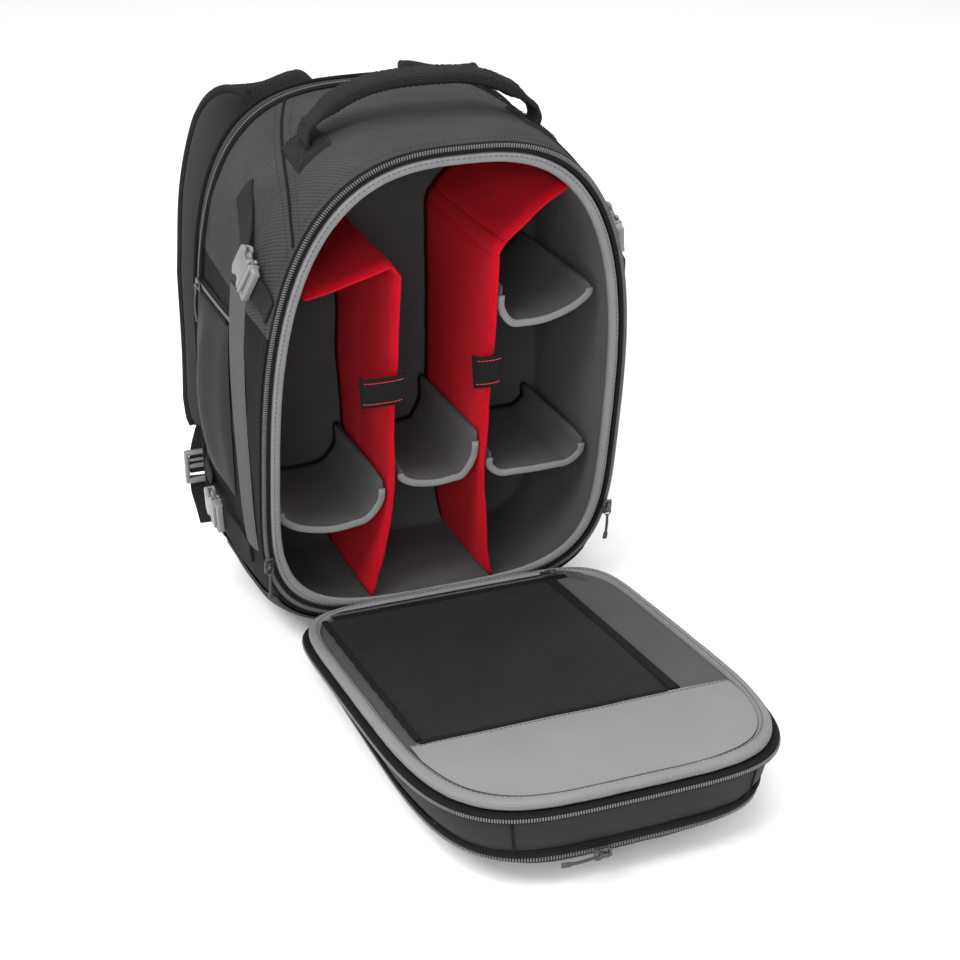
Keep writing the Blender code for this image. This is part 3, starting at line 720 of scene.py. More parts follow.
def make_side_bands():
    """Light grey panel between the side pocket and the opening."""
    for side, label in SIDES:
        rows = []
        for z in spread(BAND_LOW, BAND_TOP, 40):
            k = (z - BAND_LOW) / (BAND_TOP - BAND_LOW)
            front, rear = mix(-0.0770, -0.0660, k), mix(-0.050, -0.026, k ** 0.7)
            row = []
            for j, y in enumerate(spread(front, rear, 14)):
                off = 0.0006 + 0.0022 * hump(j / 13, 0.6)
                row.append(side_point(side, y, z, off))
            rows.append(row)
        band = cloth("panel_side_" + label, rows, "band")
        place(band, "bag")
        edge = [(row[1], X_AXIS * side) for row in rows]
        stitches("stitch_side_" + label, edge, "bag", "stitch", 0.0036)


def make_boot():
    angles = spread(math.radians(216), math.radians(324), 90)
    depths = [0.036, 0.05] + spread(0.08, 0.94, 20) + [0.965, 0.985]
    rows = []
    for d in depths:
        row = []
        for i, a in enumerate(angles):
            k = i / (len(angles) - 1)
            edge = clamp(math.sin(math.pi * k) * 9) * clamp((d - 0.030) * 40) * clamp((0.99 - d) * 60)
            sag = 0.0005 * ripple(body_point(d, a, 0), 0.03, 5.0)
            off = 0.0012 + 0.0023 * edge + sag * edge
            row.append(body_point(d, a, off, max(0.0, 0.0036 - off)))
        rows.append(row)
    boot = cloth("boot_base", rows, "smooth")
    place(boot, "bag", "base_boot")
    for k, label in ((1, "left"), (-2, "right")):
        line = [(row[k], Vector((-1 if label == "left" else 1, 0, 0.2)).normalized()) for row in rows]
        stitches("stitch_boot_" + label, line, "bag", "dark_stitch")


# ---------------------------------------------------------------- opening: binding, zip and liner
def rim_tube(profile, angles):
    """Sections round the opening; profile gives (depth, off) points for each angle."""
    return [[body_point(depth, a, off) for depth, off in profile(a)] for a in angles]


def make_rim():
    angles = even_angles(lambda a: body_point(0, a, -0.011), 300, -math.pi / 2)

    def bound(a):
        puff = 1 + 0.05 * ripple(body_point(0, a, 0), 0.012, 2.0)
        section_points = []
        for i in range(16):
            t = 2 * math.pi * i / 16
            section_points.append((0.0095 - 0.0205 * power(math.cos(t), 0.75) * puff,
                                   -0.01115 + 0.0038 * power(math.sin(t), 0.75) * puff))
        return section_points

    rows = rim_tube(bound, angles)
    binding = cloth("binding_rim", rows, "binding", closed=True, loop=True)
    place(binding, "bag", "rim_binding")
    outline = angles + [angles[0] + 2 * math.pi]
    ahead = Vector((0, -1, -LEAN)).normalized()
    stitches("stitch_rim", [(body_point(-0.0125, a, -0.0098), ahead) for a in outline], "bag",
             "stitch", 0.0040)

    def tape(a):
        return [(0.012, -0.0066), (-0.006, -0.0066), (-0.0078, -0.0058), (-0.0060, -0.0030),
                (-0.0055, -0.0012), (-0.0035, -0.0008), (0.006, -0.0003), (0.013, -0.0008)]

    rows = rim_tube(tape, angles)
    track = cloth("zip_rim_tape", rows, "tape", closed=True, loop=True)
    place(track, "bag", "rim_zip_track")
    teeth("zip_rim_coil", [(body_point(-0.0065, a, -0.0022), ahead) for a in outline], "bag")


def make_liner():
    angles = even_angles(lambda a: body_point(0.4, a, LINER_IN), 150, -math.pi / 2)
    rows = []
    for d in [0.020, 0.036, 0.06] + spread(0.10, 0.84, 16) + [0.87]:
        swell = 0.0016 * math.sin(math.pi * clamp((d - 0.03) / 0.85))
        rows.append([body_point(d, a, LINER_IN - swell * (1 + ripple(body_point(d, a, 0), 0.03, 7)))
                     for a in angles])
    rear = ((0.985, 0.892), (0.95, 0.900), (0.86, 0.902), (0.70, 0.901), (0.5, 0.900), (0.3, 0.900),
            (0.08, 0.900))
    for k, d in rear:
        row = []
        for a in angles:
            p = body_point(d, a, LINER_IN)
            z = mix(WAIST_Z + 0.03, p.z, k)
            row.append(Vector((p.x * k, body_y(d, z), z)))
        rows.append(row)
    liner = cloth("lining_body", rows, "lining", closed=True, caps="last")
    place(liner, "bag", "padded_liner")


# ---------------------------------------------------------------- dividers and shelves
CELL_BACK = 0.056
LEFT_DIVIDER = ((-0.050, 0.021), (-0.046, 0.040), (-0.040, 0.070), (-0.035, 0.120), (-0.037, 0.185),
                (-0.036, 0.250), (-0.036, 0.310))
RIGHT_DIVIDER = ((0.054, 0.021), (0.050, 0.040), (0.046, 0.075), (0.041, 0.125), (0.041, 0.190),
                 (0.042, 0.255), (0.041, 0.316))
LEFT_FLAP = ((-0.041, 0.3165), (-0.060, 0.311), (-0.085, 0.303), (-0.108, 0.298))
RIGHT_FLAP = ((0.046, 0.3245), (0.060, 0.338), (0.077, 0.354), (0.094, 0.365))


def padded_sheet(name, route, half_t, front, look, steps, seed):
    """Soft upright or level panel: its edge follows route in x and z, and it runs back into the bag."""
    line = curve_path([(x, 0, z) for x, z in route], steps)
    depth_steps = 12
    rows = []
    for i, p in enumerate(line):
        along = (line[min(i + 1, steps - 1)] - line[max(i - 1, 0)]).normalized()
        normal = Vector((along.z, 0, -along.x))
        y0 = body_y(0, p.z) + front
        end = clamp(min(i, steps - 1 - i) / 2.0) ** 0.5
        row = []
        stops = [(mix(y0, CELL_BACK, k / depth_steps), 1) for k in range(depth_steps + 1)]
        stops += [(y, -1) for y, _ in reversed(stops)]
        for j, (y, side) in enumerate(stops):
            lip = clamp(min(j, len(stops) - 1 - j) / depth_steps * 6) ** 0.5
            t = half_t * mix(0.35, 1.0, lip) * mix(0.5, 1.0, end)
            t += 0.0007 * ripple(Vector((p.x, y, p.z)), 0.022, seed + side)
            bow = 0.0010 * ripple(Vector((p.x, y, p.z)), 0.05, seed + 9)
            row.append(Vector((p.x, y, p.z)) + normal * (side * t + bow))
        rows.append(row)
    return cloth(name, rows, look, closed=True, caps="both")


def make_dividers():
    for label, upright, flap in (("left", LEFT_DIVIDER, LEFT_FLAP), ("right", RIGHT_DIVIDER, RIGHT_FLAP)):
        wall = padded_sheet("divider_wall_" + label, upright, 0.0032, 0.020, "red", 46, 1.0)
        place(wall, "bag", "divider_" + label)
        x, z = flap[0]
        fold = padded_sheet("divider_fold_" + label, flap, 0.0031, 0.024, "red", 26, 4.0)
        place(fold, "flap_" + label, "divider_flap_" + label)
        x1, z1 = upright[-1]
        route = [(x1, z1 - 0.003), ((x1 + x) / 2, (z1 + z) / 2), (x + (x - x1) * 0.2, z + 0.0003)]
        crease = padded_sheet("divider_crease_" + label, route, 0.0026, 0.022, "red", 9, 2.0)
        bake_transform(crease)


SHELVES = {
    "shelf_left": ((-0.1240, 0.1040), (-0.0430, 0.1000), 0.010, 0.014, 0.030),
    "shelf_centre": ((-0.0265, 0.1260), (0.0340, 0.1260), 0.006, 0.010, 0.036),
    "shelf_right_lower": ((0.0480, 0.1200), (0.1270, 0.1200), 0.002, 0.020, 0.020),
    "shelf_right_upper": ((0.0480, 0.2580), (0.1200, 0.2680), 0.008, 0.030, 0.012),
}


def shelf_route(left, right, sag, tab_left, tab_right):
    route = [(left[0], left[1] + tab_left), (left[0], left[1] + tab_left * 0.4)]
    for k in (0.08, 0.25, 0.5, 0.75, 0.92):
        route.append((mix(left[0], right[0], k) + 0.004 * (1 - 2 * k),
                      mix(left[1], right[1], k) - sag * 4 * k * (1 - k)))
    return route + [(right[0], right[1] + tab_right * 0.4), (right[0], right[1] + tab_right)]


def make_shelves():
    for n, (name, facts) in enumerate(SHELVES.items()):
        route = shelf_route(*facts)
        shelf = padded_sheet("padded_" + name, route, 0.0032, 0.0255, "lining", 54, 11.0 + n)
        place(shelf, "bag", name)
        line = curve_path([(x, 0, z) for x, z in route], 40)
        edge = [Vector((p.x, body_y(0, p.z) + 0.0250, p.z)) for p in line[2:-2]]
        cord = strap("edge_" + name, edge, Y_AXIS, 0.0016, 0.0030, "binding", 2.5, 10)
        place(cord, "bag")


LOOPS = (("left", -0.066, -0.032, 0.205, 0.230), ("right", 0.024, 0.047, 0.208, 0.236))


def make_loops():
    for label, x0, x1, z0, z1 in LOOPS:
        z = (z0 + z1) / 2
        y = body_y(0, z) + 0.0142
        path = curve_path([(x0 + 0.0005, y + 0.0016, z), (x0 + 0.004, y - 0.0022, z),
                           ((x0 + x1) / 2, y - 0.0034, z), (x1 - 0.003, y - 0.0020, z),
                           (x1 - 0.0003, y + 0.0020, z)], 24)
        tab = strap("loop_" + label, path, Vector((0, -LEAN, 1)), (z1 - z0) / 2, 0.0009, "loop", 8.0, 16)
        place(tab, "bag", "divider_loop_" + label)
        outside = [(p + Vector((0, -0.0012, 0)), Vector((0, -1, 0))) for p in path[3:-3]]
        for k in (-1, 1):
            shift = Vector((0, -LEAN, 1)) * (z1 - z0) * 0.36 * k
            tag = f"{label}_{'low' if k < 0 else 'high'}"
            stitches("stitch_loop_" + tag, [(p + shift, n) for p, n in outside], "bag",
                     "label", 0.0030)


# ---------------------------------------------------------------- handle
HANDLE_X = 0.088
HANDLE_Y = -0.050
HANDLE_TOP = 0.442
HANDLE_RISE = 0.0160


def box_stitch(name, corners, look="stitch"):
    """Square and cross of stitches over a patch on the top fabric."""
    ring = corners + corners[:1]
    legs = list(zip(ring, ring[1:])) + [(corners[0], corners[2]), (corners[1], corners[3])]
    for n, (p, q) in enumerate(legs):
        line = []
        for k in spread(0, 1, 8):
            x, y = mix(p[0], q[0], k), mix(p[1], q[1], k)
            line.append((Vector((x, y, top_z(x, y, 0.0036))), Z_AXIS))
        stitches(f"{name}_{n}", line, "bag", look, 0.0034)


def make_handle():
    pivot_z = top_z(HANDLE_X, HANDLE_Y, 0) + HANDLE_RISE
    path = []
    for k in spread(-1, 1, 90):
        x = HANDLE_X * power(k, 0.9)
        path.append(Vector((x, HANDLE_Y, mix(HANDLE_TOP, pivot_z, abs(k) ** 2.6))))
    half_w, half_t = [], []
    for i in range(len(path)):
        k = abs(-1 + 2 * i / (len(path) - 1))
        rib = 0.0005 * math.cos(i * math.pi * 0.9)
        full = clamp((0.90 - k) * 8)
        half_w.append(mix(0.0118, 0.0130, full))
        half_t.append(mix(0.0026, 0.0056, full) + rib * full)
    grip = strap("handle_pad", path, Y_AXIS, half_w, half_t, "webbing", 3.2, 28)
    place(grip, "handle", "handle_grip")
    for side, label in SIDES:
        low, high = sorted(side * (HANDLE_X + dx) for dx in (-0.0135, 0.0135))
        rows = []
        for x in spread(low, high, 14):
            row = []
            for y in spread(-0.074, -0.026, 20):
                edge = clamp(min(x - low, high - x) / 0.002) * clamp(min(y + 0.074, -0.026 - y) / 0.002)
                row.append(Vector((x, y, top_z(x, y, 0.0012 + 0.0020 * edge ** 0.5))))
            rows.append(row)
        patch = cloth("handle_patch_" + label, rows, "webbing")
        place(patch, "bag", "handle_anchor_" + label)
        left, right = low + 0.003, high - 0.003
        corners = [(left, -0.071), (right, -0.071), (right, -0.029), (left, -0.029)]
        box_stitch("stitch_handle_" + label, corners, "dark_stitch")
        foot = Vector((side * (HANDLE_X + 0.001), HANDLE_Y, top_z(HANDLE_X, HANDLE_Y, 0.002)))
        end = path[0 if side < 0 else -1]
        tail_path = curve_path([end - Vector((side * 0.003, 0, -0.004)), end,
                                foot + Vector((side * 0.0015, 0, 0.006)), foot], 16)
        tail = strap("handle_tail_" + label, tail_path, Y_AXIS, 0.0122, 0.0017, "webbing", 6.0, 16)
        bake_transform(tail)


# ---------------------------------------------------------------- back and shoulder straps
def swell(obj, cap, pressure=4.0):
    """Fill a soft closed mesh by cloth simulation, keeping each point within cap of its start."""
    mesh = obj.modifiers.new("Even", "REMESH")
    mesh.mode = "VOXEL"
    mesh.voxel_size = 0.005
    settle(obj)
    start = [v.co.copy() for v in obj.data.vertices]
    sim = obj.modifiers.new("Swell", "CLOTH")
    sim.settings.use_pressure = True
    sim.settings.uniform_pressure_force = pressure
    sim.settings.effector_weights.gravity = 0.0
    sim.settings.quality = 5
    scene = bpy.context.scene
    for step in range(1, 21):
        scene.frame_set(step)
    settle(obj)
    scene.frame_set(1)
    for v, home in zip(obj.data.vertices, start):
        move = v.co - home
        if move.length > cap:
            v.co = home + move * (cap / move.length)
    sub = obj.modifiers.new("Fine", "SUBSURF")
    sub.levels = sub.render_levels = 1
    settle(obj)
    obj.data.shade_smooth()


CORNER = 0.09                # how far a pad's corners round off
EDGE_FILL = 0.35             # how full a pad is at its edge
PAD_CHANNELS = (0.205, 0.285)    # heights of the sewn channels


def cushion(name, low, high, look):
    """Crowned pad between two corners: flat against the back, full outwards."""
    nx, nz = 30, 40
    rows = []
    for i in range(nz + 1):
        v = -1 + 2 * i / nz
        row = []
        for j in range(nx + 1):
            row.append((-1 + 2 * j / nx, v, 1))
        for j in range(nx - 1, 0, -1):
            row.append((-1 + 2 * j / nx, v, 0))
        rows.append(row)
    made = []
    for row in rows:
        line = []
        for u, v, outer in row:
            full = max(0.0, 1 - abs(u) ** 4) ** 0.5 * max(0.0, 1 - abs(v) ** 6) ** 0.5
            x = mix(low[0], high[0], (u * (1 - CORNER * abs(v) ** 6) + 1) / 2)
            z = mix(low[2], high[2], (v * (1 - CORNER * abs(u) ** 6) + 1) / 2)
            y = mix(low[1], high[1], mix(0.30, full, EDGE_FILL + (1 - EDGE_FILL) * full)) if outer else low[1]
            line.append(Vector((x, y, z)))
        made.append(line)
    return cloth(name, made, look, closed=True, caps="both")


def make_back():
    angles = even_angles(lambda a: body_point(1, a, LINER_OUT), 120, -math.pi / 2)
    rows = [[body_point(depth, a, LINER_OUT) for a in angles] for depth in (0.957, 0.990)]
    for k in (0.985, 0.95, 0.85, 0.7, 0.5, 0.3, 0.1):
        row = []
        for a in angles:
            p = body_point(0.995, a, LINER_OUT)
            row.append(Vector((p.x * k, BACK_Y - 0.0010, mix(WAIST_Z + 0.03, p.z, k))))
        rows.append(row)
    panel = cloth("back_face", rows, "black", closed=True, caps="last")
    place(panel, "bag", "back_panel")
    for _, label in SIDES:
        low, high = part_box("back_pad_" + label)
        pad = cushion("back_cushion_" + label, low + Vector((0.003, 0, 0.003)),
                      high - Vector((0.003, 0.003, 0.003)), "air")
        swell(pad, 0.006)
        groove_pad(pad, PAD_CHANNELS, 0.0045)
        place(pad, "bag", "back_pad_" + label)
    low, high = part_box("lumbar_pad")
    pad = cushion("lumbar_cushion", low + Vector((0.003, 0, 0.003)),
                  high - Vector((0.003, 0.004, 0.003)), "air")
    swell(pad, 0.006)
    place(pad, "bag", "lumbar_pad")
    edge = [body_point(0.985, a, 0.0008) for a in angles]
    piping = cloth("piping_back", strip_sections(edge, Y_AXIS, 0.0022, 0.0018, 2.0, 10), "tape",
                   closed=True, loop=True)
    place(piping, "bag")


def groove_pad(obj, heights, deep):
    """Press sewn channels into the outer face of a pad."""
    rear = max(v.co.y for v in obj.data.vertices)
    front = min(v.co.y for v in obj.data.vertices)
    for v in obj.data.vertices:
        for z in heights:
            near = clamp(1 - abs(v.co.z - z) / 0.006)
            v.co.y -= deep * near * near * clamp((v.co.y - front) / (rear - front))


STRAP_ROUTE = ((0.058, 0.0900, 0.384), (0.062, 0.1020, 0.398), (0.073, 0.1220, 0.399),
               (0.090, 0.1390, 0.372), (0.105, 0.1460, 0.315), (0.112, 0.1460, 0.245),
               (0.120, 0.1410, 0.170), (0.131, 0.1340, 0.108))
LOCK_Z = 0.074
LADDER_BARS = (((-0.016, -0.003, -0.015), (-0.0125, 0.003, 0.015)),
               ((0.0125, -0.003, -0.015), (0.016, 0.003, 0.015)),
               ((-0.014, -0.0032, 0.0115), (0.014, 0.0032, 0.015)),
               ((-0.014, -0.0034, -0.015), (0.014, 0.0034, -0.0105)),
               ((-0.014, -0.001, -0.002), (0.014, 0.004, 0.002)),
               ((-0.014, -0.001, 0.0045), (0.014, 0.004, 0.0075)))
SECTION = 28                 # points round a shoulder strap


def make_shoulder_straps():
    for side, label in SIDES:
        body = "harness_" + label
        count = 76
        path = curve_path([(side * x, y, z) for x, y, z in STRAP_ROUTE], count)
        half_w, half_t, wide = [], [], []
        for i in range(count):
            k = i / (count - 1)
            rounded = mix(0.62, 1.0, clamp(k * 2.2)) * mix(0.75, 1.0, clamp((1 - k) * 18) ** 0.5)
            half_w.append((0.034 - 0.012 * max(0.0, (k * 18 - 13) / 5)) * rounded)
            half_t.append(mix(0.0035, 0.0062, clamp(k * 8) * clamp((1 - k) * 10)))
            level = 0.22 * clamp(k * 8) * clamp((0.55 - k) * 4)
            wide.append(Vector((1, side * 0.25 * clamp((k - 0.25) * 4), -side * level)))

        middle = count // 2
        turned = (path[middle + 1] - path[middle]).cross(wide[middle]).y > 0

        def zone(column, outer_first=turned):
            """The inner face is grey cloth, the outer face air mesh."""
            return 1 if (column < SECTION // 2) != outer_first else 0

        pad = strap("shoulder_pad_" + label, path, wide, half_w, half_t,
                    ["air", "strap_face"], 3.0, SECTION, zone)
        place(pad, body, "shoulder_strap_" + label)
        for edge in (-1, 1):
            line = []
            for i, p in enumerate(path):
                _, across = square_to(path, i, wide[i])
                line.append(p + across * half_w[i] * edge * 0.97)
            tag = f"{label}_{'inner' if edge * side < 0 else 'outer'}"
            rope = strap("strap_edge_" + tag, line, wide, 0.0030, 0.0034, "webbing", 2.4, 12)
            place(rope, body)
        run = []
        for i in range(26, 72):
            along, across = square_to(path, i, wide[i])
            out = along.cross(across)
            run.append(path[i] + (out if out.y > 0 else -out) * 0.0062)
        tape = strap("strap_webbing_" + label, run, wide[40], 0.0125, 0.0011, "webbing", 6.0, 14)
        place(tape, body)
        end = path[-1]
        lock = Vector((end.x + side * 0.010, end.y - 0.003, LOCK_Z))
        adjuster = hard_piece("ladder_" + label, LADDER_BARS, "buckle", (X_AXIS, Y_AXIS, Z_AXIS), lock,
                              0.0011)
        place(adjuster, body, "ladder_lock_" + label)
        hang = curve_path([end + Vector((0, 0.001, 0.004)), (mix(end.x, lock.x, 0.6), lock.y + 0.0035, 0.094),
                           lock + Vector((0, 0.001, 0.006)), lock + Vector((0, 0.005, 0.0)),
                           lock + Vector((0, 0, -0.0060))], 24)
        place(strap("strap_end_" + label, hang, X_AXIS, 0.0118, 0.0009, "webbing", 6.0, 14), body)
        route = curve_path([lock + Vector((0, 0.002, -0.010)),
                            lock + Vector((side * 0.0006, -0.0010, -0.022)),
                            lock + Vector((side * 0.0003, -0.012, -0.030)),
                            (side * 0.142, 0.0985, 0.0350)], 30)
        web = strap("lower_strap_" + label, route, X_AXIS, 0.0118, 0.0010, "webbing", 6.0, 14)
        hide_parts("lower_webbing_" + label)
        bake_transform(web)


# ---------------------------------------------------------------- side pockets and straps
POCKET_Y = (-0.030, 0.060)
POCKET_Z = (0.118, 0.262)


def make_side_pockets():
    for side, label in SIDES:
        rows = []
        for i, z in enumerate(spread(*POCKET_Z, 40)):
            up = i / 39
            row = []
            for j, y in enumerate(spread(*POCKET_Y, 30)):
                across = j / 29
                bulge = 0.0014 + 0.0125 * hump(across, 0.8) * hump(up, 0.6)
                pleat = 0.0012 * math.cos(across * math.pi * 4) * clamp(math.sin(math.pi * up) * 1.4)
                lump = 0.0008 * ripple(Vector((side, y, z)), 0.03, 8.0) * math.sin(math.pi * across)
                off = bulge + (pleat + lump) * clamp(math.sin(math.pi * across) * 3)
                row.append(side_point(side, y, z, off))
            rows.append(row)
        pocket = cloth("pocket_side_" + label, rows, "smooth")
        place(pocket, "bag", "side_pocket_" + label)
        hem = [side_point(side, y, POCKET_Z[1] + 0.001, 0.0022)
               for y in spread(*POCKET_Y, 30)]
        edging = strap("pocket_hem_" + label, hem, X_AXIS, 0.0012, 0.0022, "tape", 2.4, 10)
        place(edging, "bag")
        z = POCKET_Z[1] + 0.0047
        ys = spread(POCKET_Y[0] - 0.004, POCKET_Y[1] + 0.006, 34)
        tape = [[side_point(side, y, z + dz, 0.0012) for y in ys] for dz in spread(-0.006, 0.006, 5)]
        place(cloth("zip_side_tape_" + label, tape, "tape"), "bag")
        line = [(side_point(side, y, z, 0.0018), X_AXIS * side) for y in ys]
        teeth("zip_side_coil_" + label, line, "bag")
        x = side * side_x(0.052, 0.2665, 0.0034)
        zip_slider("slider_side_" + label, Vector((x, 0.052, 0.2665)),
                   (-Y_AXIS, Z_AXIS * side, X_AXIS * side), "side_slider_" + label,
                   "side_zip_slider_" + label, -Z_AXIS)


def zip_slider(name, point, axes, body, node, hang):
    """Slider of a zip: two plates, a bridge, and a ring with a cord pull that hangs off it."""
    out = axes[2]
    boxes = [((-0.0062, -0.0040, 0.0), (0.0050, 0.0040, 0.0012)),
             ((-0.0030, -0.0010, 0.0012), (0.0034, 0.0010, 0.0030)),
             ((0.0030, -0.0034, 0.0), (0.0068, 0.0034, 0.0012))]
    place(hard_piece(name, boxes, "metal", axes, point, 0.0005), body, node)
    hang = (hang - out * hang.dot(out)).normalized()
    wide = out.cross(hang)
    ring = []
    for i in range(24):
        t = 2 * math.pi * i / 24
        ring.append(point + out * 0.0030 + hang * (0.0035 + 0.0035 * math.cos(t))
                    + wide * 0.0026 * math.sin(t))
    rows = strip_sections(ring, out, 0.0005, 0.0005, 2.0, 8)
    place(cloth(name + "_ring", rows[1:-1], "metal", closed=True, loop=True), body)
    pull = [point + out * (0.0030 + 0.0010 * math.sin(3 * k)) + hang * mix(0.006, 0.030, k)
            for k in spread(0, 1, 14)]
    place(strap(name + "_pull", pull, wide, [0.0011 + 0.0009 * (k > 0.75) for k in spread(0, 1, 14)], 0.0010,
                "cord", 2.2, 10), body)


SIDE_STRAPS = {"upper": ((-0.012, 0.360), (-0.082, 0.315), (-0.114, 0.2985)),
               "lower": ((0.066, 0.103), (0.006, 0.091), (-0.056, 0.081))}
BUCKLE_W, BUCKLE_T = 0.027, 0.0085


def strap_frame(side, centre, towards):
    y, z = centre
    lift = 0.0008
    here = side_point(side, y, z, lift)
    dy, dz = towards[0] - y, towards[1] - z
    length = math.hypot(dy, dz)
    step = 0.02

    def at(yy, zz):
        return side_point(side, yy, zz, lift)

    along = (at(y + dy / length * step, z + dz / length * step)
             - at(y - dy / length * step, z - dz / length * step)).normalized()
    up = (at(y, z + step) - at(y, z - step)).normalized()
    out = along.cross(up).normalized()
    if out.x * side < 0:
        out = -out
    return here, along, out.cross(along).normalized(), out


def side_web(name, side, start, stop, lifts, half=0.0100, thick=0.0010, count=26):
    """Webbing over the side of the body that follows the surface on both edges, and its middle line."""
    dy, dz = stop[0] - start[0], stop[1] - start[1]
    length = math.hypot(dy, dz)
    across_y, across_z = -dz / length * half, dy / length * half
    rows, middle = [], []
    for k in spread(0, 1, count):
        rising = lifts[1] > lifts[0]
        lift = mix(*lifts, clamp((k - 0.35) / 0.65) ** 2 if rising else clamp(k / 0.65) ** 0.5)
        y, z = mix(start[0], stop[0], k), mix(start[1], stop[1], k)
        row = []
        for face, steps in ((1, spread(-1, 1, 9)), (-1, spread(1, -1, 9))):
            for s in steps:
                yy, zz = y + s * across_y, z + s * across_z
                edge = 0.6 if abs(s) == 1 else 1.0
                row.append(side_point(side, yy, zz, lift + face * thick * edge))
        rows.append(row)
        middle.append(side_point(side, y, z, lift))
    return cloth(name, rows, "webbing", closed=True, caps="both"), middle


def make_side_straps():
    for height, (rear, centre, front) in SIDE_STRAPS.items():
        for side, label in SIDES:
            tag = height + "_" + label
            here, along, across, out = strap_frame(side, centre, front)
            base = here + out * (0.0045 + BUCKLE_T / 2)
            axes = (along, across, out)
            w, t = BUCKLE_W / 2, BUCKLE_T / 2
            shoulder = [(-0.0215, w * 0.70), (-0.0185, w * 0.92), (-0.0160, w), (-0.0135, w * 0.94),
                        (-0.0120, w * 0.70), (-0.0060, w * 0.66), (-0.0045, w * 0.90),
                        (-0.0028, w), (-0.0003, w)]
            rail = [(-0.0215, w * 0.80), (-0.0185, w * 0.80)]
            plates = [(shoulder, t * 0.30, t * 0.95), (shoulder, -t * 0.95, -t * 0.35),
                      (rail, -t * 0.9, t * 0.9)]
            sleeve = plate_piece("buckle_sleeve_" + tag, plates, "buckle", axes, base)
            walls = [((-0.0200, -w * 0.62, -t * 0.7), (-0.0060, -w * 0.48, t * 0.6)),
                     ((-0.0200, w * 0.48, -t * 0.7), (-0.0060, w * 0.62, t * 0.6)),
                     ((-0.0110, -w * 0.10, t * 0.6), (-0.0035, w * 0.10, t * 1.0))]
            rim = hard_piece("buckle_sides_" + tag, walls, "buckle", axes, base)
            place(join(sleeve, rim), "bag", "buckle_female_" + tag)
            yoke = [(0.0006, w * 0.72), (0.0012, w * 0.96), (0.0030, w), (0.0048, w * 0.98),
                    (0.0050, w * 0.72)]
            prong = plate_piece("buckle_prong_" + tag, [(yoke, -t * 0.95, t * 0.95)], "buckle", axes, base)
            frame_bars = [((0.0045, -w * 0.98, -t * 0.7), (0.0122, -w * 0.76, t * 0.7)),
                          ((0.0045, w * 0.76, -t * 0.7), (0.0122, w * 0.98, t * 0.7)),
                          ((0.0096, -w * 0.95, -t * 0.6), (0.0124, w * 0.95, t * 0.6)),
                          ((0.0068, -w * 0.9, -t * 0.2), (0.0082, w * 0.9, t * 0.5)),
                          ((-0.0138, -w * 0.16, -t * 0.28), (0.0020, w * 0.16, t * 0.22)),
                          ((-0.0118, -w * 0.96, -t * 0.30), (-0.0062, -w * 0.74, t * 0.22)),
                          ((-0.0118, w * 0.74, -t * 0.30), (-0.0062, w * 0.96, t * 0.22)),
                          ((-0.0075, -w * 0.86, -t * 0.28), (0.0020, -w * 0.66, t * 0.20)),
                          ((-0.0075, w * 0.66, -t * 0.28), (0.0020, w * 0.86, t * 0.20))]
            bars = hard_piece("buckle_bars_" + tag, frame_bars, "buckle", axes, base, 0.0009)
            place(join(prong, bars), "clip_" + tag, "buckle_male_" + tag)
            dy, dz = rear[0] - centre[0], rear[1] - centre[1]
            length = math.hypot(dy, dz)
            near = 0.020
            start = (centre[0] + dy / length * near, centre[1] + dz / length * near)
            web, _ = side_web("web_rear_" + tag, side, rear, start, (0.0022, 0.0085))
            place(web, "bag", "strap_rear_" + tag)
            dy, dz = front[0] - centre[0], front[1] - centre[1]
            length = math.hypot(dy, dz)
            start = (centre[0] + dy / length * 0.0072, centre[1] + dz / length * 0.0072)
            web, band = side_web("web_front_" + tag, side, start, front, (0.0085, 0.0016))
            place(web, "bag")
            tuple(along)
            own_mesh(web)


# ---------------------------------------------------------------- zips on the body
def make_body_zips():
    angles = [math.radians(a) for a in spread(14, 166, 110)]
    rows = [[body_point(d, a, off) for a in angles]
            for d, off in ((0.862, 0.0016), (0.868, 0.0030), (0.880, 0.0026), (0.886, 0.0018),
                           (0.892, 0.0026), (0.904, 0.0030), (0.910, 0.0016))]
    place(cloth("zip_laptop_tape", rows, "tape"), "bag", "laptop_zip_track")
    teeth("zip_laptop_coil", [(body_point(0.886, a, 0.0030), body_normal(0.886, a)) for a in angles], "bag")
    low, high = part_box("laptop_zip_slider")
    point = (low + high) / 2 - Vector((0, 0, 0.002))
    tilt = (top_z(point.x + 0.01, point.y, 0) - top_z(point.x - 0.01, point.y, 0)) / 0.02
    along = Vector((1, 0, tilt)).normalized()
    zip_slider("slider_laptop", point, (along, Y_AXIS, along.cross(Y_AXIS)), "laptop_slider",
               "laptop_zip_slider", Vector((0.6, -0.8, 0)))
    ahead = Vector((0, -1, -LEAN)).normalized()
    upward = Vector((0, -LEAN, 1)).normalized()
    for side, label in SIDES:
        low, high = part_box("main_slider_" + label)
        point = (low + high) / 2 - ahead * 0.002
        zip_slider("slider_opening_" + label, point, (upward, X_AXIS * side, ahead),
                   "opening_slider_" + label, "main_slider_" + label, -upward)


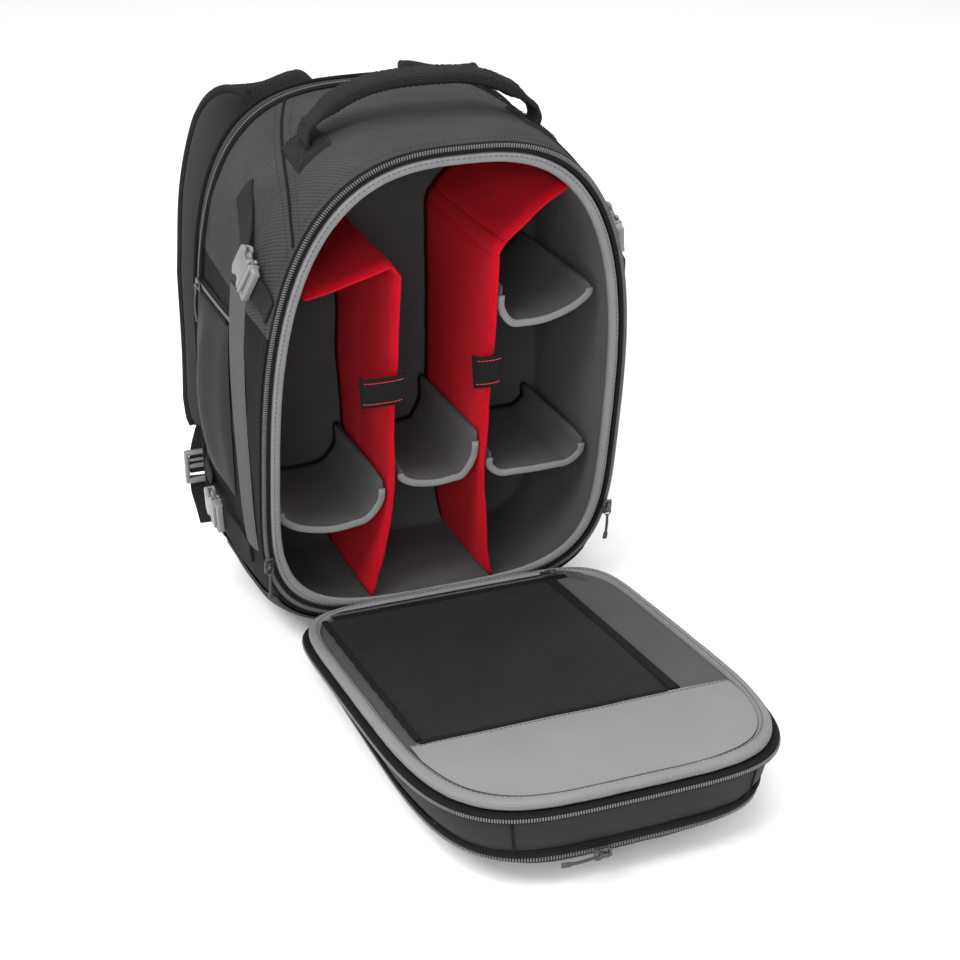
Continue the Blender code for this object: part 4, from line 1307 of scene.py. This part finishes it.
# ---------------------------------------------------------------- lid
def make_lid():
    curve = even_angles(lambda a: lid_spot(a, 0, 0), 260, -math.pi / 2)
    rows = []
    lip = ((-0.0090, 0.0112), (-0.0084, 0.0090), (-0.0084, 0.0010), (-0.0100, 0.0002), (-0.016, -0.0003))
    for off, w in lip:
        rows.append([lid_spot(a, off, w) for a in curve])
    for k in (0.86, 0.70, 0.52, 0.34, 0.16, 0.03):
        row = []
        for a in curve:
            u, v = lid_uv(a, -0.010)
            p = lid_place(u * k, mix(0.18, v, k), 0)
            row.append(p + LID_UP * (0.0004 + 0.0004 * ripple(p, 0.03, 6.0)))
        rows.append(row)
    panel = cloth("lid_pad", rows, "lining", closed=True, caps="last")
    place(panel, "lid", "lid_panel")

    rows = []
    for a in curve:
        row = []
        puff = 1 + 0.05 * ripple(lid_spot(a, 0, 0), 0.012, 4.0)
        for i in range(16):
            t = 2 * math.pi * i / 16
            row.append(lid_spot(a, -0.0040 + 0.0042 * power(math.cos(t), 0.75) * puff,
                                0.0019 - 0.0040 * power(math.sin(t), 0.75) * puff))
        rows.append(row)
    place(cloth("binding_lid", rows, "binding", closed=True, loop=True), "lid", "lid_binding")
    outline = curve + [curve[0] + 2 * math.pi]
    stitches("stitch_lid", [(lid_spot(a, -0.0055, -0.0023), LID_UP) for a in outline], "lid",
             "stitch", 0.0040)

    rows = []
    for a in curve:
        profile = ((-0.0060, 0.0066), (0.0030, 0.0064), (0.0042, 0.0072), (0.0044, 0.0088), (0.0046, 0.0094),
                   (0.0044, 0.0102), (0.0042, 0.0118), (0.0030, 0.0124), (-0.0060, 0.0121))
        rows.append([lid_spot(a, off, w) for off, w in profile])
    place(cloth("zip_lid_tape", rows, "tape", closed=True, loop=True), "lid", "lid_zip_track")
    line = []
    for a in outline:
        p = lid_spot(a, 0.0046, 0.0094)
        step = 0.004
        q = lid_spot(a + step, 0.0046, 0.0094) - lid_spot(a - step, 0.0046, 0.0094)
        line.append((p, q.cross(LID_UP).normalized()))
    teeth("zip_lid_coil", line, "lid", spacing=0.0018, reach=0.0013)


def make_tray():
    curve = even_angles(lambda a: tray_point(a, 0, 0), 220, -math.pi / 2)
    rows = []
    for drop in spread(0, 1, 22):
        row = []
        for a in curve:
            p = tray_point(a, drop, 0)
            folds = 0.0012 * ripple(p, 0.05, 12.0) + 0.0006 * ripple(p, 0.02, 3.0)
            loose = math.sin(math.pi * clamp(drop)) * folds
            row.append(tray_point(a, drop, tray_off(drop) + loose))
        rows.append(row)
    for k in (0.97, 0.9, 0.7, 0.4, 0.05):
        rows.append([Vector((mix(LID_SHIFT, p.x, k), mix(HINGE_Y - 0.18, p.y, k), 0.0)) for p in rows[21]])
    tray = cloth("pocket_lid", rows, "smooth", closed=True, caps="last")
    place(tray, "lid", "lid_pocket_shell")
    angles = [math.radians(a) for a in spread(-10, 190, 130)]
    tape = [[tray_point(a, drop, tray_off(drop) + off) for a in angles]
            for drop, off in ((0.44, 0.0008), (0.47, 0.0030), (0.53, 0.0034), (0.56, 0.0028), (0.59, 0.0034),
                              (0.65, 0.0034), (0.68, 0.0008))]
    place(cloth("zip_front_tape", tape, "tape"), "lid", "front_zip_track")
    line = []
    for a in angles:
        p = tray_point(a, 0.56, tray_off(0.56) + 0.0038)
        q = tray_point(a + 0.01, 0.56, tray_off(0.56)) - tray_point(a - 0.01, 0.56, tray_off(0.56))
        line.append((p, q.cross(Z_AXIS).normalized()))
    teeth("zip_front_coil", line, "lid")
    low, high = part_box("front_zip_slider")
    point = Vector(((low.x + high.x) / 2, high.y - 0.0035, (low.z + high.z) / 2))
    zip_slider("slider_front", point, (X_AXIS, Z_AXIS, -Y_AXIS), "front_slider", "front_zip_slider", -X_AXIS)
    for n, degrees in enumerate((66, 114)):
        a = math.radians(degrees)
        line = [tray_point(a, drop, tray_off(drop) + 0.0012) for drop in spread(0.02, 0.46, 12)]
        welt = strap(f"welt_pocket_{n}", line, X_AXIS, 0.0009, 0.0006, "tape", 2.0, 8)
        place(welt, "lid")


MESH_U = (-0.112, 0.078)
MESH_V = (0.028, 0.252)


def make_lid_inside():
    count_u, count_v = 60, 66
    rows = []
    for i, u in enumerate(spread(*MESH_U, count_u)):
        row = []
        for j, v in enumerate(spread(*MESH_V, count_v)):
            a, b = i / (count_u - 1), j / (count_v - 1)
            bow = hump(a, 0.6) * hump(b, 0.6)
            gather = clamp(1 - a / 0.10)
            wave = b * 84 + 3.0 * ripple(Vector((0, b, 0)), 0.07)
            pucker = 0.0015 * math.sin(wave) * gather
            pull = 0.0005 * math.sin(wave + 1.0) * gather
            sag = 0.0020 * ripple(Vector((u, v, 0)), 0.06, 2.2)
            high = 0.0012 + 0.0072 * bow + (sag * bow) + pucker * clamp(a * 30)
            row.append(lid_place(u + pull, v, -max(high, 0.0006)))
        rows.append(row)
    mesh = cloth("net_lid", rows, "net")
    place(mesh, "lid", "lid_mesh")
    border = curve_path([rows[-1][k] + LID_UP * 0.0008 for k in range(0, count_v, 5)], 50)
    place(strap("net_border", border, X_AXIS, 0.0042, 0.0009, "tape", 5.0, 12), "lid")
    hem = curve_path([rows[0][k] + LID_UP * 0.0006 for k in range(0, count_v, 2)], 90)
    place(strap("net_gather", hem, X_AXIS, 0.0024, 0.0010, "tape", 3.0, 12), "lid")
    near = [rows[k][-1] + LID_UP * 0.0004 for k in range(0, count_u, 3)]
    place(strap("net_end", near, LID_ALONG, 0.0022, 0.0008, "tape", 4.0, 10), "lid")
    us = spread(-0.104, 0.094, 60)
    strip = [[lid_place(u, v, -0.0012) for u in us] for v in spread(0.0130, 0.0275, 6)]
    place(cloth("zip_net_tape", strip, "tape"), "lid", "mesh_zip_track")
    teeth("zip_net_coil", [(lid_place(u, 0.0195, -0.0020), LID_UP) for u in us], "lid")
    point = lid_place(0.080, 0.0195, -0.0034)
    zip_slider("slider_net", point, (X_AXIS, LID_ALONG, LID_UP), "mesh_slider", "mesh_zip_slider",
               LID_ALONG + X_AXIS)
    steps = 80
    far_v = MESH_V[1] + 0.0008
    ends = [lid_uv(math.radians(a), -0.0082) for a in spread(20.5, 159.5, steps)]
    rows = []
    for u, v in ends:
        row = []
        for k in spread(0, 1, 26):
            vv = mix(far_v, max(v, far_v + 0.003), k)
            p = lid_place(u, vv, 0)
            rise = 0.0010 + 0.0022 * math.sin(math.pi * clamp(k * 0.92 + 0.06)) * clamp((0.118 - abs(u)) * 60)
            row.append(p + LID_UP * (rise + 0.0005 * ripple(p, 0.035, 1.4)))
        rows.append(row)
    panel = cloth("end_panel", rows, "end")
    place(panel, "lid", "lid_end_panel")
    line = [(row[1] + LID_UP * 0.0003, LID_UP) for row in rows]
    stitches("stitch_end_panel", line, "lid", "stitch", 0.0036)


def make_hinge():
    """Fabric hinge from under the opening's edge to the lid's far edge."""
    rows = []
    body_edge = Vector((0, -0.0770, 0.0195))
    lid_edge = lid_place(0, 0.004, 0.0070)
    for x in spread(-0.096, 0.104, 40):
        row = []
        for k in spread(0, 1, 14):
            p = body_edge.lerp(lid_edge, k)
            sag = 0.0022 * math.sin(math.pi * k)
            row.append(Vector((x, p.y, p.z + sag)))
        rows.append(row)
    flap = cloth("hinge_cloth", rows, "binding", thick=0.0010)
    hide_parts("hinge_strip")
    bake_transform(flap)


# ---------------------------------------------------------------- floor, light and camera
CAMERA_AT = Vector((-0.4553, -1.3493, 0.7734))
CAMERA_TURN = math.radians(-21.12)
CAMERA_DROP = math.radians(25.55)
CAMERA_LENS = 71.29


def make_stage():
    look = Look("pale_floor", 0.9)
    spots = look.noise(60, 2.0)
    look.paint((0.86, 0.86, 0.86), (0.90, 0.90, 0.90), spots)
    look.relief(spots, 0.00005)
    look.polish(spots, 0.03)
    LOOKS["floor"] = look.material
    size, level = 6.0, -0.0004
    mesh = bpy.data.meshes.new("floor")
    corners = [(-size, -size, level), (size, -size, level), (size, size, level), (-size, size, level)]
    mesh.from_pydata(corners, [], [(0, 1, 2, 3)])
    add_object("floor", mesh, ["floor"])


def soft_light(name, at, target, size, energy):
    data = bpy.data.lights.new(name, "AREA")
    data.shape = "RECTANGLE"
    data.size, data.size_y = size
    data.energy = energy
    lamp = bpy.data.objects.new(name, data)
    lamp.location = at
    lamp.rotation_euler = (Vector(target) - Vector(at)).to_track_quat("-Z", "Y").to_euler()
    bpy.context.scene.collection.objects.link(lamp)


def make_lights():
    world = bpy.data.worlds.new("studio")
    bpy.context.scene.world = world
    world.use_nodes = True
    world.node_tree.nodes["Background"].inputs["Color"].default_value = (1.0, 1.0, 1.0, 1.0)
    world.node_tree.nodes["Background"].inputs["Strength"].default_value = 0.80
    target = (0.0, -0.1, 0.2)
    soft_light("key", (-1.3, -1.0, 2.2), target, (1.2, 1.2), 56)
    soft_light("fill", (1.9, -1.4, 1.3), target, (1.6, 1.6), 16)
    soft_light("front", (-0.9, -2.0, 0.9), target, (1.2, 1.0), 26)
    soft_light("top", (0.2, 0.6, 2.4), target, (1.8, 1.2), 30)
    bpy.context.scene.view_settings.view_transform = "Standard"


def make_camera():
    a, e = CAMERA_TURN, CAMERA_DROP
    forward = Vector((-math.sin(a) * math.cos(e), math.cos(a) * math.cos(e), -math.sin(e)))
    right = Vector((math.cos(a), math.sin(a), 0))
    up = right.cross(forward)
    data = bpy.data.cameras.new("camera")
    data.lens = CAMERA_LENS
    data.clip_start = 0.01
    camera = bpy.data.objects.new("camera", data)
    rows = [(right[i], up[i], -forward[i], CAMERA_AT[i]) for i in range(3)]
    camera.matrix_world = Matrix(rows + [(0, 0, 0, 1)])
    bpy.context.scene.collection.objects.link(camera)
    bpy.context.scene.camera = camera


make_camera()
make_cover()
make_side_bands()
make_boot()
make_rim()
make_liner()
make_dividers()
make_shelves()
make_loops()
make_handle()
make_back()
make_shoulder_straps()
make_side_pockets()
make_side_straps()
make_body_zips()
make_lid()
make_tray()
make_lid_inside()
make_hinge()
make_stage()
make_lights()
